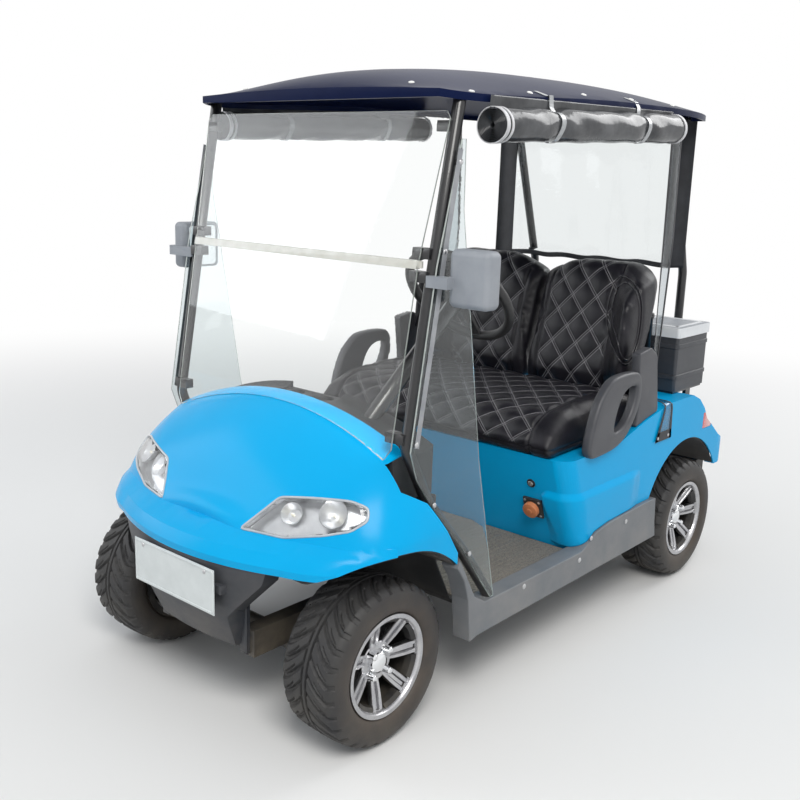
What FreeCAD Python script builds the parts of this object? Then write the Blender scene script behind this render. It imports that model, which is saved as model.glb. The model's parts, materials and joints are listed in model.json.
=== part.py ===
import FreeCAD, Part
import math
import os

import Sketcher

# Golf cart with two seats, in millimetres: +Z up, the nose towards -Y, +X on its left side.
# The origin lies on the ground, on the centre line, midway along the whole length.

DOC = FreeCAD.newDocument("golf_cart")
SHEET = DOC.addObject("Spreadsheet::Sheet", "sizes")
SIZES = (
    ("wheelbase", 1680.0),
    ("front_overhang", 305.0),
    ("rear_overhang", 400.0),
    ("front_track", 876.0),
    ("rear_track", 972.0),
    ("tyre_diameter", 459.0),
    ("tyre_width", 196.0),
    ("tyre_shoulder", 26.0),
    ("bead_radius", 133.0),
    ("flange_radius", 146.0),
    ("rim_wall", 6.0),
    ("rim_inset", 12.0),
    ("spoke_pairs", 7.0),
    ("hub_radius", 52.0),
    ("hub_set_back", 62.0),
    ("cap_radius", 31.0),
    ("spindle_radius", 24.0),
    ("steer_stop", 30.0),
    ("running_gap", 8.0),
    ("seat_gap", 0.3),
    ("floor_height", 300.0),
    ("floor_thickness", 12.0),
    ("mat_thickness", 5.0),
    ("sill_width", 62.0),
    ("sill_height", 95.0),
    ("body_half_width", 562.0),
    ("front_half_width", 568.0),
    ("panel", 5.0),
    ("front_arch_radius", 328.0),
    ("rear_arch_radius", 322.0),
    ("deck_height", 634.0),
    ("rail_width", 50.0),
    ("rail_height", 80.0),
    ("rail_spread", 205.0),
    ("axle_tube", 56.0),
    ("strut_tube", 34.0),
    ("roof_height", 1838.0),
    ("roof_edge_height", 1694.0),
    ("roof_half_width", 532.0),
    ("roof_shell", 8.0),
    ("glass", 5.0),
    ("cushion_thickness", 140.0),
    ("cushion_half_width", 520.0),
    ("backrest_thickness", 105.0),
    ("armrest_width", 44.0),
    ("wheel_rim_radius", 175.0),
    ("wheel_rim_tube", 15.0),
    ("cooler_width", 225.0),
    ("cooler_depth", 262.0),
    ("cooler_height", 205.0),
    ("cooler_wall", 14.0),
    ("lid_height", 38.0),
    ("plate_width", 350.0),
    ("plate_height", 128.0),
    ("roll_radius", 50.0),
    ("cup_radius", 40.0),
    ("column_tilt", 40.0),
)
for row, (alias, value) in enumerate(SIZES, start=1):
    SHEET.set(f"A{row}", alias)
    SHEET.set(f"B{row}", str(value))
    SHEET.setAlias(f"B{row}", alias)
DOC.recompute()


def size(alias):
    return float(SHEET.get(alias))


# Places along the cart that the pieces share.
LENGTH = size("front_overhang") + size("wheelbase") + size("rear_overhang")
NOSE = -LENGTH / 2
TAIL = LENGTH / 2
FRONT_AXLE = NOSE + size("front_overhang")
REAR_AXLE = TAIL - size("rear_overhang")
AXLE_HEIGHT = size("tyre_diameter") / 2
NODES = []


def vec(x, y, z):
    return FreeCAD.Vector(x, y, z)


def keep(label, shape):
    """Stores a finished shape as one named sub-part."""
    item = DOC.addObject("Part::Feature", label)
    item.Label = label
    item.Shape = shape
    NODES.append(item)
    return item


def polygon(points):
    """Closed wire through points, in order."""
    return Part.makePolygon([vec(*point) for point in points] + [vec(*points[0])])


def plate(points, direction):
    """Flat outline thickened along a vector."""
    return Part.Face(polygon(points)).extrude(vec(*direction))


def box(low, high):
    return Part.makeBox(high[0] - low[0], high[1] - low[1], high[2] - low[2], vec(*low))


def rod(start, end, radius):
    a, b = vec(*start), vec(*end)
    return Part.makeCylinder(radius, (b - a).Length, a, b - a)


def fuse(shapes):
    whole = shapes[0].multiFuse(shapes[1:]) if len(shapes) > 1 else shapes[0]
    return whole.removeSplitter()


def tube(points, radius, bend):
    """Round bar along straight runs that are joined by tangent arcs of one bend radius."""
    ends = [vec(*point) for point in points]
    edges = []
    last = ends[0]
    for before, corner, after in zip(ends, ends[1:], ends[2:]):
        back = (before - corner).normalize()
        ahead = (after - corner).normalize()
        half = (math.pi - back.getAngle(ahead)) / 2
        reach = bend * math.tan(half)
        start = corner + back * reach
        finish = corner + ahead * reach
        middle_way = (back + ahead).normalize()
        middle = corner + middle_way * (bend / math.cos(half) - bend)
        edges.append(Part.LineSegment(last, start).toShape())
        edges.append(Part.Arc(start, middle, finish).toShape())
        last = finish
    edges.append(Part.LineSegment(last, ends[-1]).toShape())
    path = Part.Wire(edges)
    section = Part.Wire([Part.makeCircle(radius, ends[0], ends[1] - ends[0])])
    return path.makePipeShell([section], True, False)


def mirrored(shape):
    return shape.mirror(vec(0, 0, 0), vec(1, 0, 0))


def pair(label, shape):
    """One node of two like pieces: the left one and its mirror image on the right."""
    keep(label, Part.makeCompound([shape, mirrored(shape)]))


def largest(shape):
    """The one solid that is left when a cut drops loose corners."""
    return max(shape.Solids, key=lambda solid: solid.Volume)


def fy(offset):
    """Place along Y, counted from the front axle."""
    return FRONT_AXLE + offset


def ry(offset):
    """Place along Y, counted from the rear axle."""
    return REAR_AXLE + offset


def arc(start, middle, end):
    return Part.Arc(vec(*start), vec(*middle), vec(*end)).toShape()


def line(start, end):
    return Part.LineSegment(vec(*start), vec(*end)).toShape()


def side_plate(points, low_x, high_x):
    """Outline in the YZ plane, thickened from one X to another."""
    return plate([(low_x, y, z) for y, z in points], (high_x - low_x, 0, 0))


# Wheels: a rubber tyre and a cast rim with pairs of spokes, each made by its own revolve.
WHEELS = (
    # name, side of the cart, axle place along Y, track width alias
    ("front_left", 1, FRONT_AXLE, "front_track"),
    ("front_right", -1, FRONT_AXLE, "front_track"),
    ("rear_left", 1, REAR_AXLE, "rear_track"),
    ("rear_right", -1, REAR_AXLE, "rear_track"),
)


def plane_of(body, role):
    return [item for item in body.Origin.OriginFeatures if item.Role == role][0]


def sketch_on(body, name, role):
    sketch = body.newObject("Sketcher::SketchObject", name)
    sketch.AttachmentSupport = [(plane_of(body, role), "")]
    sketch.MapMode = "FlatFace"
    return sketch


def pinned_outline(sketch, points):
    """Closed straight outline whose corners are held at places given as sheet formulas."""
    corners = [vec(i + 1.0, (i * i) % 7 + 1.0, 0) for i in range(len(points))]
    for start, end in zip(corners, corners[1:] + corners[:1]):
        sketch.addGeometry(Part.LineSegment(start, end), False)
    count = len(points)
    for i in range(count):
        sketch.addConstraint(Sketcher.Constraint("Coincident", i, 2, (i + 1) % count, 1))
    for i, (across, along) in enumerate(points):
        for kind, formula in (("DistanceX", across), ("DistanceY", along)):
            number = sketch.addConstraint(Sketcher.Constraint(kind, -1, 1, i, 1, 1.0))
            sketch.setExpression(f"Constraints[{number}]", formula)


def revolved_body(label, points, side, axle, track):
    """Ring turned about the wheel's own axis from a half section."""
    body = DOC.addObject("PartDesign::Body", label)
    body.Label = label
    outline = sketch_on(body, label + "_section", "XZ_Plane")
    pinned_outline(outline, points)
    ring = body.newObject("PartDesign::Revolution", label + "_ring")
    ring.Profile = outline
    ring.ReferenceAxis = (outline, ["H_Axis"])
    ring.Angle = 360
    outline.Visibility = False
    place_wheel(body, side, axle, track)
    return body


def place_wheel(body, side, axle, track):
    if side < 0:
        body.Placement.Rotation = FreeCAD.Rotation(vec(0, 0, 1), 180)
    body.setExpression("Placement.Base.x", f"{side} * sizes.{track} / 2")
    body.setExpression("Placement.Base.y", axle)
    body.setExpression("Placement.Base.z", "sizes.tyre_diameter / 2")


HALF_LENGTH = "(sizes.front_overhang + sizes.wheelbase + sizes.rear_overhang) / 2"
AXLE_FORMULA = {
    FRONT_AXLE: f"sizes.front_overhang - {HALF_LENGTH}",
    REAR_AXLE: f"{HALF_LENGTH} - sizes.rear_overhang",
}
BEAD = "(sizes.tyre_width / 2 - sizes.rim_inset - 8)"
SHOULDER = "sizes.tyre_diameter / 2 - sizes.tyre_shoulder"
TYRE_HALF = (
    # across the tread, out from the axle: one side, from the bead to the tread
    (BEAD, "sizes.bead_radius + sizes.seat_gap"),
    (BEAD, "sizes.flange_radius + sizes.seat_gap"),
    ("sizes.tyre_width / 2 - 6", "sizes.flange_radius + 6"),
    ("sizes.tyre_width / 2", SHOULDER + " * 2"),
    ("sizes.tyre_width / 2 - 4", SHOULDER + " * 0.9"),
    ("sizes.tyre_width / 2 - 12", SHOULDER + " * 0.3"),
    ("sizes.tyre_width / 2 - sizes.tyre_shoulder", "sizes.tyre_diameter / 2"),
)
TYRE_SECTION = TYRE_HALF + tuple((f"-({across})", out) for across, out in reversed(TYRE_HALF))
RIM_FACE = "(sizes.tyre_width / 2 - sizes.rim_inset)"
RIM_BACK = "(sizes.rim_inset - sizes.tyre_width / 2)"
HUB_FACE = "(sizes.tyre_width / 2 - sizes.hub_set_back)"
RIM_SECTION = (
    # across the rim, out from the axle: barrel with both flanges, dished disc and centre cap
    (RIM_BACK, "sizes.bead_radius - sizes.rim_wall"),
    (RIM_FACE + " - 34", "sizes.bead_radius - sizes.rim_wall"),
    (HUB_FACE + " - 22", "sizes.hub_radius"),
    (HUB_FACE + " - 22", "sizes.spindle_radius"),
    (HUB_FACE + " + 6", "sizes.spindle_radius"),
    (HUB_FACE + " + 6", "0"),
    (HUB_FACE + " + 16", "0"),
    (HUB_FACE + " + 14", "sizes.cap_radius - 6"),
    (HUB_FACE + " + 8", "sizes.cap_radius"),
    (HUB_FACE, "sizes.cap_radius + 1"),
    (HUB_FACE, "sizes.hub_radius"),
    (RIM_FACE + " - 12", "sizes.bead_radius - sizes.rim_wall"),
    (RIM_FACE, "sizes.bead_radius + 3"),
    (RIM_FACE, "sizes.flange_radius - 1"),
    (RIM_FACE + " - 4", "sizes.flange_radius - 1"),
    (RIM_FACE + " - 6", "sizes.bead_radius"),
    (RIM_BACK + " + 6", "sizes.bead_radius"),
    (RIM_BACK + " + 4", "sizes.flange_radius - 1"),
    (RIM_BACK, "sizes.flange_radius - 1"),
)


def spoke_windows(body, label):
    """Cuts the wide gap beside one pair of spokes and the slot inside it, then turns both round the hub."""
    pitch = 360 / size("spoke_pairs")
    inner = size("hub_radius") + 6
    outer = size("bead_radius") - size("rim_wall") - 3
    windows = (
        # first angle, last angle, inner radius, outer radius
        (pitch * 0.27, pitch * 0.73, inner + 4, outer),
        (-3.2, 3.2, inner + 18, outer - 2),
    )
    first = []
    for number, (start, end, low, high) in enumerate(windows):
        sketch = sketch_on(body, f"{label}_window_{number}", "YZ_Plane")
        low_spread = (end - start) / 2 * (0.55 if number == 0 else high / low)
        middle = (start + end) / 2
        corners = [
            (low, middle - low_spread),
            (high, start),
            (high, end),
            (low, middle + low_spread),
        ]
        flat = [vec(r * math.cos(math.radians(a)), r * math.sin(math.radians(a)), 0) for r, a in corners]
        for a, b in zip(flat, flat[1:] + flat[:1]):
            sketch.addGeometry(Part.LineSegment(a, b), False)
        for i in range(4):
            sketch.addConstraint(Sketcher.Constraint("Coincident", i, 2, (i + 1) % 4, 1))
        pocket = body.newObject("PartDesign::Pocket", f"{label}_cut_{number}")
        pocket.Profile = sketch
        pocket.Type = "ThroughAll"
        pocket.Midplane = True
        first.append(pocket)
    pattern = body.newObject("PartDesign::PolarPattern", label + "_spokes")
    pattern.Originals = first
    pattern.Axis = (plane_of(body, "X_Axis"), [""])
    pattern.Angle = 360
    pattern.Occurrences = int(size("spoke_pairs"))
    body.Tip = pattern


for name, side, axle, track in WHEELS:
    tyre = revolved_body("tyre_" + name, TYRE_SECTION, side, AXLE_FORMULA[axle], track)
    NODES.append(tyre)
    rim = revolved_body("rim_" + name, RIM_SECTION, side, AXLE_FORMULA[axle], track)
    DOC.recompute()
    spoke_windows(rim, "rim_" + name)
    NODES.append(rim)


# Frame under the floor: two rails and the members between them, the axles and the heavy masses.
RAIL_TOP = size("floor_height") - size("floor_thickness")
RAIL_LOW = RAIL_TOP - size("rail_height")
RAIL_OUT = size("rail_spread")
RAIL_IN = RAIL_OUT - size("rail_width")
RAIL_FRONT = fy(-190)
RAIL_REAR = ry(271.4)
KICK_UP = 100
RAIL_OUTLINE = (
    (RAIL_FRONT, RAIL_LOW), (ry(-420), RAIL_LOW), (ry(-290), RAIL_LOW + KICK_UP),
    (RAIL_REAR, RAIL_LOW + KICK_UP), (RAIL_REAR, RAIL_TOP + KICK_UP - 30),
    (ry(-310), RAIL_TOP + KICK_UP - 30), (ry(-416), RAIL_TOP), (RAIL_FRONT, RAIL_TOP),
)
rail = side_plate(RAIL_OUTLINE, RAIL_IN, RAIL_OUT)
CROSSES = (
    # place along Y, lift over the low part of the rails
    (RAIL_FRONT, 0), (fy(340), 0), (ry(-490), 0), (RAIL_REAR - size("rail_width"), KICK_UP - 12),
)
crosses = [
    box(
        (-RAIL_IN + size("seat_gap"), y, RAIL_LOW + 15 + lift),
        (RAIL_IN - size("seat_gap"), y + size("rail_width"), RAIL_TOP - 15 + lift),
    )
    for y, lift in CROSSES
]
keep("ladder_frame", Part.makeCompound([rail, mirrored(rail)] + crosses))

FRONT_HUB_X = size("front_track") / 2 + size("tyre_width") / 2 - size("hub_set_back")
REAR_HUB_X = size("rear_track") / 2 + size("tyre_width") / 2 - size("hub_set_back")
KING_PIN_X = size("front_track") / 2 - size("tyre_width") / 2 - 30
TUBE = size("axle_tube") / 2
BEAM_Z = RAIL_LOW - TUBE - 6
front_beam = fuse([
    rod((34 - KING_PIN_X, FRONT_AXLE, BEAM_Z), (KING_PIN_X - 34, FRONT_AXLE, BEAM_Z), TUBE),
    box((RAIL_IN + 4, fy(-34), BEAM_Z - 8), (RAIL_OUT - 4, fy(34), RAIL_LOW - size("seat_gap"))),
    box((4 - RAIL_OUT, fy(-34), BEAM_Z - 8), (-RAIL_IN - 4, fy(34), RAIL_LOW - size("seat_gap"))),
])
yoke = box(
    (KING_PIN_X - 40, FRONT_AXLE - 22, AXLE_HEIGHT - 72),
    (KING_PIN_X + 20, FRONT_AXLE + 22, AXLE_HEIGHT + 48),
)
yoke = yoke.cut(box(
    (KING_PIN_X - 28, FRONT_AXLE - 40, AXLE_HEIGHT - 40),
    (KING_PIN_X + 40, FRONT_AXLE + 40, AXLE_HEIGHT + 32),
))
pin_hole = rod((KING_PIN_X, FRONT_AXLE, 0), (KING_PIN_X, FRONT_AXLE, AXLE_HEIGHT * 2), 9.1)
yoke = yoke.cut(pin_hole)
keep("front_axle", fuse([front_beam, yoke, mirrored(yoke)]).cut(pin_hole).cut(mirrored(pin_hole)))
knuckle = fuse([
    box(
        (KING_PIN_X - 12, FRONT_AXLE - 20, AXLE_HEIGHT - 39.5),
        (KING_PIN_X + 20, FRONT_AXLE + 20, AXLE_HEIGHT + 31.5),
    ),
    rod((KING_PIN_X, FRONT_AXLE, AXLE_HEIGHT - 72), (KING_PIN_X, FRONT_AXLE, AXLE_HEIGHT + 48), 9.05),
    rod((KING_PIN_X, FRONT_AXLE, AXLE_HEIGHT), (FRONT_HUB_X, FRONT_AXLE, AXLE_HEIGHT), size("spindle_radius") - 0.05),
    box((KING_PIN_X - 12, FRONT_AXLE + 18, AXLE_HEIGHT - 34), (KING_PIN_X + 8, FRONT_AXLE + 120, AXLE_HEIGHT - 18)),
])
keep("knuckle_left", knuckle)
keep("knuckle_right", mirrored(knuckle))

rear_tube = fuse([
    rod((-REAR_HUB_X, REAR_AXLE, AXLE_HEIGHT), (REAR_HUB_X, REAR_AXLE, AXLE_HEIGHT), size("spindle_radius") - 0.05),
    rod((-330, REAR_AXLE, AXLE_HEIGHT), (330, REAR_AXLE, AXLE_HEIGHT), 38),
    rod((-146, REAR_AXLE, AXLE_HEIGHT), (-50, REAR_AXLE, AXLE_HEIGHT), 95),
])
keep("rear_axle", rear_tube)
keep("drive_motor", rod((-49.7, ry(150), AXLE_HEIGHT), (149, ry(150), AXLE_HEIGHT), 84))
SPRING_LOW = AXLE_HEIGHT + 38 + size("seat_gap")
SPRING_ENDS = RAIL_LOW + KICK_UP - size("seat_gap")
spring_face = Part.Face(Part.Wire([
    arc((RAIL_IN, ry(-270), SPRING_ENDS - 14), (RAIL_IN, REAR_AXLE, SPRING_LOW), (RAIL_IN, ry(270), SPRING_ENDS - 14)),
    line((RAIL_IN, ry(270), SPRING_ENDS - 14), (RAIL_IN, ry(270), SPRING_ENDS)),
    arc((RAIL_IN, ry(270), SPRING_ENDS), (RAIL_IN, REAR_AXLE, SPRING_LOW + 16), (RAIL_IN, ry(-270), SPRING_ENDS)),
    line((RAIL_IN, ry(-270), SPRING_ENDS), (RAIL_IN, ry(-270), SPRING_ENDS - 14)),
]))
pair("leaf_springs", spring_face.extrude(vec(size("rail_width"), 0, 0)))

# Floor between the side sills, with its rubber mat.
FLOOR_TOP = size("floor_height")
SILL_IN = size("body_half_width") + 16 - size("sill_width")
FLOOR_FRONT = fy(330)
BASE_FOOT = ry(-770)
floor = box((-SILL_IN + 1, FLOOR_FRONT, RAIL_TOP), (SILL_IN - 1, ry(-424), FLOOR_TOP))
keep("floor_pan", floor)
MAT_TOP = FLOOR_TOP + size("mat_thickness") + size("seat_gap")
mat = box(
    (-SILL_IN + 12, FLOOR_FRONT + 20, FLOOR_TOP),
    (SILL_IN - 12, BASE_FOOT - 12, FLOOR_TOP + size("mat_thickness")),
)
keep("floor_mat", mat)

SILL_LOW = RAIL_TOP - 68
SILL_TOP = SILL_LOW + size("sill_height")
SILL_OUTLINE = (
    # places along Y and Z, round the grey side panel from its front foot
    (fy(292), SILL_LOW - 8),
    (fy(330), SILL_LOW),
    (ry(-250), SILL_LOW + 6),
    (ry(-262), SILL_TOP - 30),
    (ry(-270), SILL_TOP + 64),
    (ry(-420), SILL_TOP + 62),
    (ry(-600), SILL_TOP + 56),
    (ry(-690), SILL_TOP + 44),
    (ry(-742), SILL_TOP + 18),
    (ry(-782), SILL_TOP),
    (fy(360), SILL_TOP),
    (fy(305), SILL_TOP + 34),
    (fy(232), SILL_TOP + 160),
    (fy(222), SILL_TOP + 140),
    (fy(252), SILL_TOP + 96),
    (fy(276), SILL_TOP + 30),
)
sill = side_plate(SILL_OUTLINE, SILL_IN, SILL_IN + size("sill_width"))
pair("side_sills", sill)


def side_wire(y, half, low, fender, shoulder_x, shoulder_z, crown):
    """Closed cross-section of the nose at one place along Y: flat foot, upright side, two-arc top."""
    bend = (half * 0.42 + shoulder_x * 0.58 + (half - shoulder_x) * 0.16,
            fender + (shoulder_z - fender) * 0.62)
    return Part.Wire([
        line((-half, y, low), (half, y, low)),
        line((half, y, low), (half, y, fender)),
        arc((half, y, fender), (bend[0], y, bend[1]), (shoulder_x, y, shoulder_z)),
        arc((shoulder_x, y, shoulder_z), (0, y, crown), (-shoulder_x, y, shoulder_z)),
        arc((-shoulder_x, y, shoulder_z), (-bend[0], y, bend[1]), (-half, y, fender)),
        line((-half, y, fender), (-half, y, low)),
    ])


NOSE_SECTIONS = (
    # from the front axle, half width, fender height, shoulder place across, its height, crown height
    (-212, 236, 520, 150, 566, 580),
    (-170, 372, 530, 210, 620, 634),
    (-130, 456, 545, 272, 664, 684),
    (-70, 530, 562, 352, 708, 750),
    (0, 561, 574, 408, 744, 808),
    (70, 568, 577, 440, 768, 853),
    (150, 568, 576, 452, 776, 872),
    (250, 568, 576, 460, 782, 880),
)


def nose_loft(inset):
    """Nose solid with its skin moved inwards by the inset, and its foot left open below."""
    foot = 380 - inset * 2
    return Part.makeLoft([
        side_wire(fy(y + (inset if y == -212 else 0)), half - inset, foot, fender - inset / 2,
                  shoulder_x - inset / 2, shoulder_z - inset, crown - inset)
        for y, half, fender, shoulder_x, shoulder_z, crown in NOSE_SECTIONS
    ], True, False)


LIP_RINGS = (
    # height, front on the centre line, corner across, corner along, hip across, hip along, end across
    (500, -300, 340, -227, 484, -148, 562),
    (520, -303, 344, -230, 488, -148, 565),
    (552, -286, 352, -204, 490, -130, 565),
    (580, -214, 352, -150, 478, -96, 560),
)


def lip_wire(inset, ring, level):
    """Rounded plan outline of the nose lip at one height."""
    height, front, corner_x, corner_y, hip_x, hip_y, end_x = ring
    corner = (corner_x - inset, fy(corner_y + inset))
    end = (end_x - inset, fy(-20))
    hip = (hip_x - inset, fy(hip_y + inset))
    z = height + level
    return Part.Wire([
        arc((-end[0], end[1], z), (-hip[0], hip[1], z), (-corner[0], corner[1], z)),
        arc((-corner[0], corner[1], z), (0, fy(front + inset), z), (corner[0], corner[1], z)),
        arc((corner[0], corner[1], z), (hip[0], hip[1], z), (end[0], end[1], z)),
        line((end[0], end[1], z), (-end[0], end[1], z)),
    ])


def lip_loft(inset):
    wires = [lip_wire(inset, ring, -inset if ring is LIP_RINGS[-1] else 0) for ring in LIP_RINGS]
    if inset:
        wires[0] = lip_wire(inset, LIP_RINGS[0], -inset * 2)
    return Part.makeLoft(wires, True, True)


nose_skin = nose_loft(0).fuse(lip_loft(0))
nose_core = nose_loft(size("panel")).fuse(lip_loft(size("panel")))
COWL_REAR = (
    # behind these places along Y and Z the nose is open to the cabin
    (fy(136), 960),
    (fy(136), 790),
    (fy(120), 772),
    (fy(56), 760),
    (fy(132), 645),
    (fy(228), 500),
    (fy(228), 300),
    (fy(700), 300),
    (fy(700), 960),
)
behind_cowl = side_plate(COWL_REAR, -700, 700)
strut_room = side_plate([(fy(78), 960), (fy(52), 700), (fy(160), 640), (fy(400), 640), (fy(400), 960)], 446, 700)
behind_cowl = behind_cowl.fuse([strut_room, mirrored(strut_room)])
below_lip = box((-700, fy(-400), 300), (700, fy(400), 500))
arch = rod((200, FRONT_AXLE, AXLE_HEIGHT), (700, FRONT_AXLE, AXLE_HEIGHT), size("front_arch_radius"))
cowl = nose_skin.cut(nose_core).cut(behind_cowl)
side_foot = box((-700, fy(-150), 370), (700, fy(400), 500))
cowl = cowl.cut(below_lip.cut(side_foot)).cut(arch).cut(mirrored(arch))

LAMP_AIM = vec(0.35, -0.74, 0.57).normalize()
LAMP_OUTLINE = (
    # across, from the front axle, height: round the clear lens from its inner tip
    (171, -208, 580),
    (300, -172, 578),
    (400, -120, 594),
    (462, -88, 616),
    (492, -62, 650),
    (482, -52, 682),
    (440, -70, 694),
    (247, -139, 673),
)


def lamp_prism(grow):
    """Lens outline carried along its aim through the nose."""
    middle = vec(340, fy(-110), 630)
    corners = []
    for x, y, z in LAMP_OUTLINE:
        place = vec(x, fy(y), z)
        flat = place - LAMP_AIM * (place - middle).dot(LAMP_AIM)
        corners.append(flat + (flat - middle).normalize() * grow)
    face = Part.Face(Part.makePolygon(corners + corners[:1]))
    face.translate(LAMP_AIM * -160)
    return face.extrude(LAMP_AIM * 320)


lamp_core = nose_loft(48).fuse(lip_loft(48))
lamp = lamp_prism(-size("seat_gap")).common(nose_skin.cut(lamp_core))
lamp = largest(lamp)
cowl = cowl.cut(lamp_prism(0)).cut(mirrored(lamp_prism(0)))
keep("front_cowl", largest(cowl.cut(sill).cut(mirrored(sill))))
pair("headlamps", lamp)


# Front bumper: a curved apron that narrows downwards under the nose lip, with its ledge on top.
BUMPER_RINGS = (
    # height, half width, front at the centre, front at the end
    (499.7, 305, -296, -238),
    (462, 292, -298, -240),
    (380, 214, -290, -262),
    (345, 180, -282, -262),
    (240, 162, -232, -218),
)


FIN_DEPTH = 52


def crescent(height, half, front, end, wall):
    """Plan section of the apron: outer arc, inner arc and the two short ends."""
    outer = ((-half, fy(end), height), (0, fy(front), height), (half, fy(end), height))
    inner = [(x, y + wall + (FIN_DEPTH if x else 0), z) for x, y, z in outer]
    return Part.Wire([
        arc(*outer),
        line(outer[2], inner[2]),
        arc(*reversed(inner)),
        line(inner[0], outer[0]),
    ])


apron = Part.makeLoft([crescent(*ring, size("panel") + 1) for ring in BUMPER_RINGS], True, True)
apron = apron.cut(box((-RAIL_OUT - 1, RAIL_FRONT - 0.3, 200), (RAIL_OUT + 1, RAIL_FRONT + 200, 360)))
LEDGE = 499.7
ledge_outer = [(-305, fy(-238), LEDGE - 6), (0, fy(-296), LEDGE - 6), (305, fy(-238), LEDGE - 6)]
ledge_face = Part.Face(Part.Wire([
    arc(*ledge_outer),
    line(ledge_outer[2], (296, fy(-196), LEDGE - 6)),
    line((296, fy(-196), LEDGE - 6), (-296, fy(-196), LEDGE - 6)),
    line((-296, fy(-196), LEDGE - 6), ledge_outer[0]),
]))
stay = box((RAIL_IN + 4, fy(-290), 420), (RAIL_IN + 34, RAIL_FRONT - 8, 444))
stay = stay.fuse(box((RAIL_IN + 4, RAIL_FRONT - 12, RAIL_LOW + 10), (RAIL_IN + 34, RAIL_FRONT - 0.3, 444)))
bumper = fuse([apron, ledge_face.extrude(vec(0, 0, 6)), stay, mirrored(stay)])
keep("front_bumper", bumper)

PLATE_MIDDLE = 424
PLATE_BACK = fy(-301)
plate_low = PLATE_MIDDLE - size("plate_height") / 2
number_plate = box(
    (-size("plate_width") / 2, PLATE_BACK, plate_low),
    (size("plate_width") / 2, PLATE_BACK + 2, plate_low + size("plate_height")),
)
plate_holder = box((-150, PLATE_BACK + 2, PLATE_MIDDLE - 20), (150, fy(-280), PLATE_MIDDLE + 20)).cut(apron)
plate_holder = largest(plate_holder)
keep("number_plate", number_plate.fuse(plate_holder).removeSplitter())

# Windscreen of two flat clear panes, each in its own slope, with a joining strip between them.
SCREEN_LOW = (444, fy(60), 762)
SCREEN_JOIN = (456, fy(147), 1281)
SCREEN_TOP = (484, fy(229), 1673)
JOIN_Z = SCREEN_JOIN[2]
JOIN_HALF = 11


def slope_between(low, high):
    return (high[1] - low[1]) / (high[2] - low[2])


LOW_SLOPE = slope_between(SCREEN_LOW, SCREEN_JOIN)
HIGH_SLOPE = slope_between(SCREEN_JOIN, SCREEN_TOP)


def on_low(x, z):
    return (x, SCREEN_LOW[1] + LOW_SLOPE * (z - SCREEN_LOW[2]), z)


def on_high(x, z):
    return (x, SCREEN_JOIN[1] + HIGH_SLOPE * (z - SCREEN_JOIN[2]), z)


CROWN_Z = NOSE_SECTIONS[5][5] + 6
low_edges = [
    arc(on_low(-430, 768), on_low(0, CROWN_Z), on_low(430, 768)),
    line(on_low(430, 768), on_low(452, 800)),
    line(on_low(452, 800), on_low(456, JOIN_Z - JOIN_HALF)),
    line(on_low(456, JOIN_Z - JOIN_HALF), on_low(-456, JOIN_Z - JOIN_HALF)),
    line(on_low(-456, JOIN_Z - JOIN_HALF), on_low(-452, 800)),
    line(on_low(-452, 800), on_low(-430, 768)),
]
low_normal = vec(0, 1, -LOW_SLOPE).normalize()
high_normal = vec(0, 1, -HIGH_SLOPE).normalize()
low_pane = largest(Part.Face(Part.Wire(low_edges)).extrude(low_normal * size("glass")).cut(cowl))
keep("windscreen_lower", low_pane)
high_points = [
    on_high(-456, JOIN_Z + JOIN_HALF), on_high(456, JOIN_Z + JOIN_HALF), on_high(482, 1650), on_high(468, 1668),
    on_high(-468, 1668), on_high(-482, 1650),
]
high_pane = Part.Face(polygon(high_points)).extrude(high_normal * size("glass"))
keep("windscreen_upper", high_pane)
SEAT = size("seat_gap")
join = fuse([
    side_plate([
        (SCREEN_JOIN[1] - 6, JOIN_Z - JOIN_HALF + SEAT), (SCREEN_JOIN[1] + 9, JOIN_Z - JOIN_HALF + SEAT),
        (SCREEN_JOIN[1] + 13, JOIN_Z + JOIN_HALF - SEAT), (SCREEN_JOIN[1] - 2, JOIN_Z + JOIN_HALF - SEAT),
    ], -456, 456),
    box((440, SCREEN_JOIN[1] + 9, JOIN_Z - 9), (462, SCREEN_JOIN[1] + 16, JOIN_Z + 9)),
    box((-462, SCREEN_JOIN[1] + 9, JOIN_Z - 9), (-440, SCREEN_JOIN[1] + 16, JOIN_Z + 9)),
])
keep("windscreen_hinge", join.cut(low_pane).cut(high_pane))

# Struts of bent steel tube: the front pair stands behind the windscreen and runs down to the sill.
TUBE_R = size("strut_tube") / 2

# Roof: a domed shell whose sides turn down to a rim.
ROOF_EDGE = size("roof_edge_height")
ROOF_RISE = size("roof_height") - ROOF_EDGE
ROOF_W = size("roof_half_width")
ROOF_SECTIONS = (
    # place along Y, half width less than the widest, edge height over the lowest, share of the crown's rise
    (fy(192), 62, 6, 0.26),
    (fy(270), 22, 0, 0.52),
    (fy(400), 6, 2, 0.72),
    (fy(620), 1, 12, 0.88),
    (fy(880), 0, 24, 0.97),
    (ry(-520), 0, 30, 1.0),
    (ry(-280), 2, 32, 0.97),
    (ry(-90), 20, 32, 0.83),
    (ry(84), 66, 30, 0.5),
)


def roof_loft(inset):
    wires = []
    for number, (y, narrow, lift, share) in enumerate(ROOF_SECTIONS):
        half = ROOF_W - narrow - inset
        low = ROOF_EDGE + lift - inset * 4
        brim = ROOF_EDGE + lift + 20 - inset * 0.6
        crown = ROOF_EDGE + ROOF_RISE * share - inset
        place = y + (inset if number == 0 else -inset if number == len(ROOF_SECTIONS) - 1 else 0)
        wires.append(Part.Wire([
            line((-half, place, low), (half, place, low)),
            line((half, place, low), (half, place, brim)),
            arc((half, place, brim), (0, place, max(crown, brim + 4)), (-half, place, brim)),
            line((-half, place, brim), (-half, place, low)),
        ]))
    return Part.makeLoft(wires, True, False)


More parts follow.
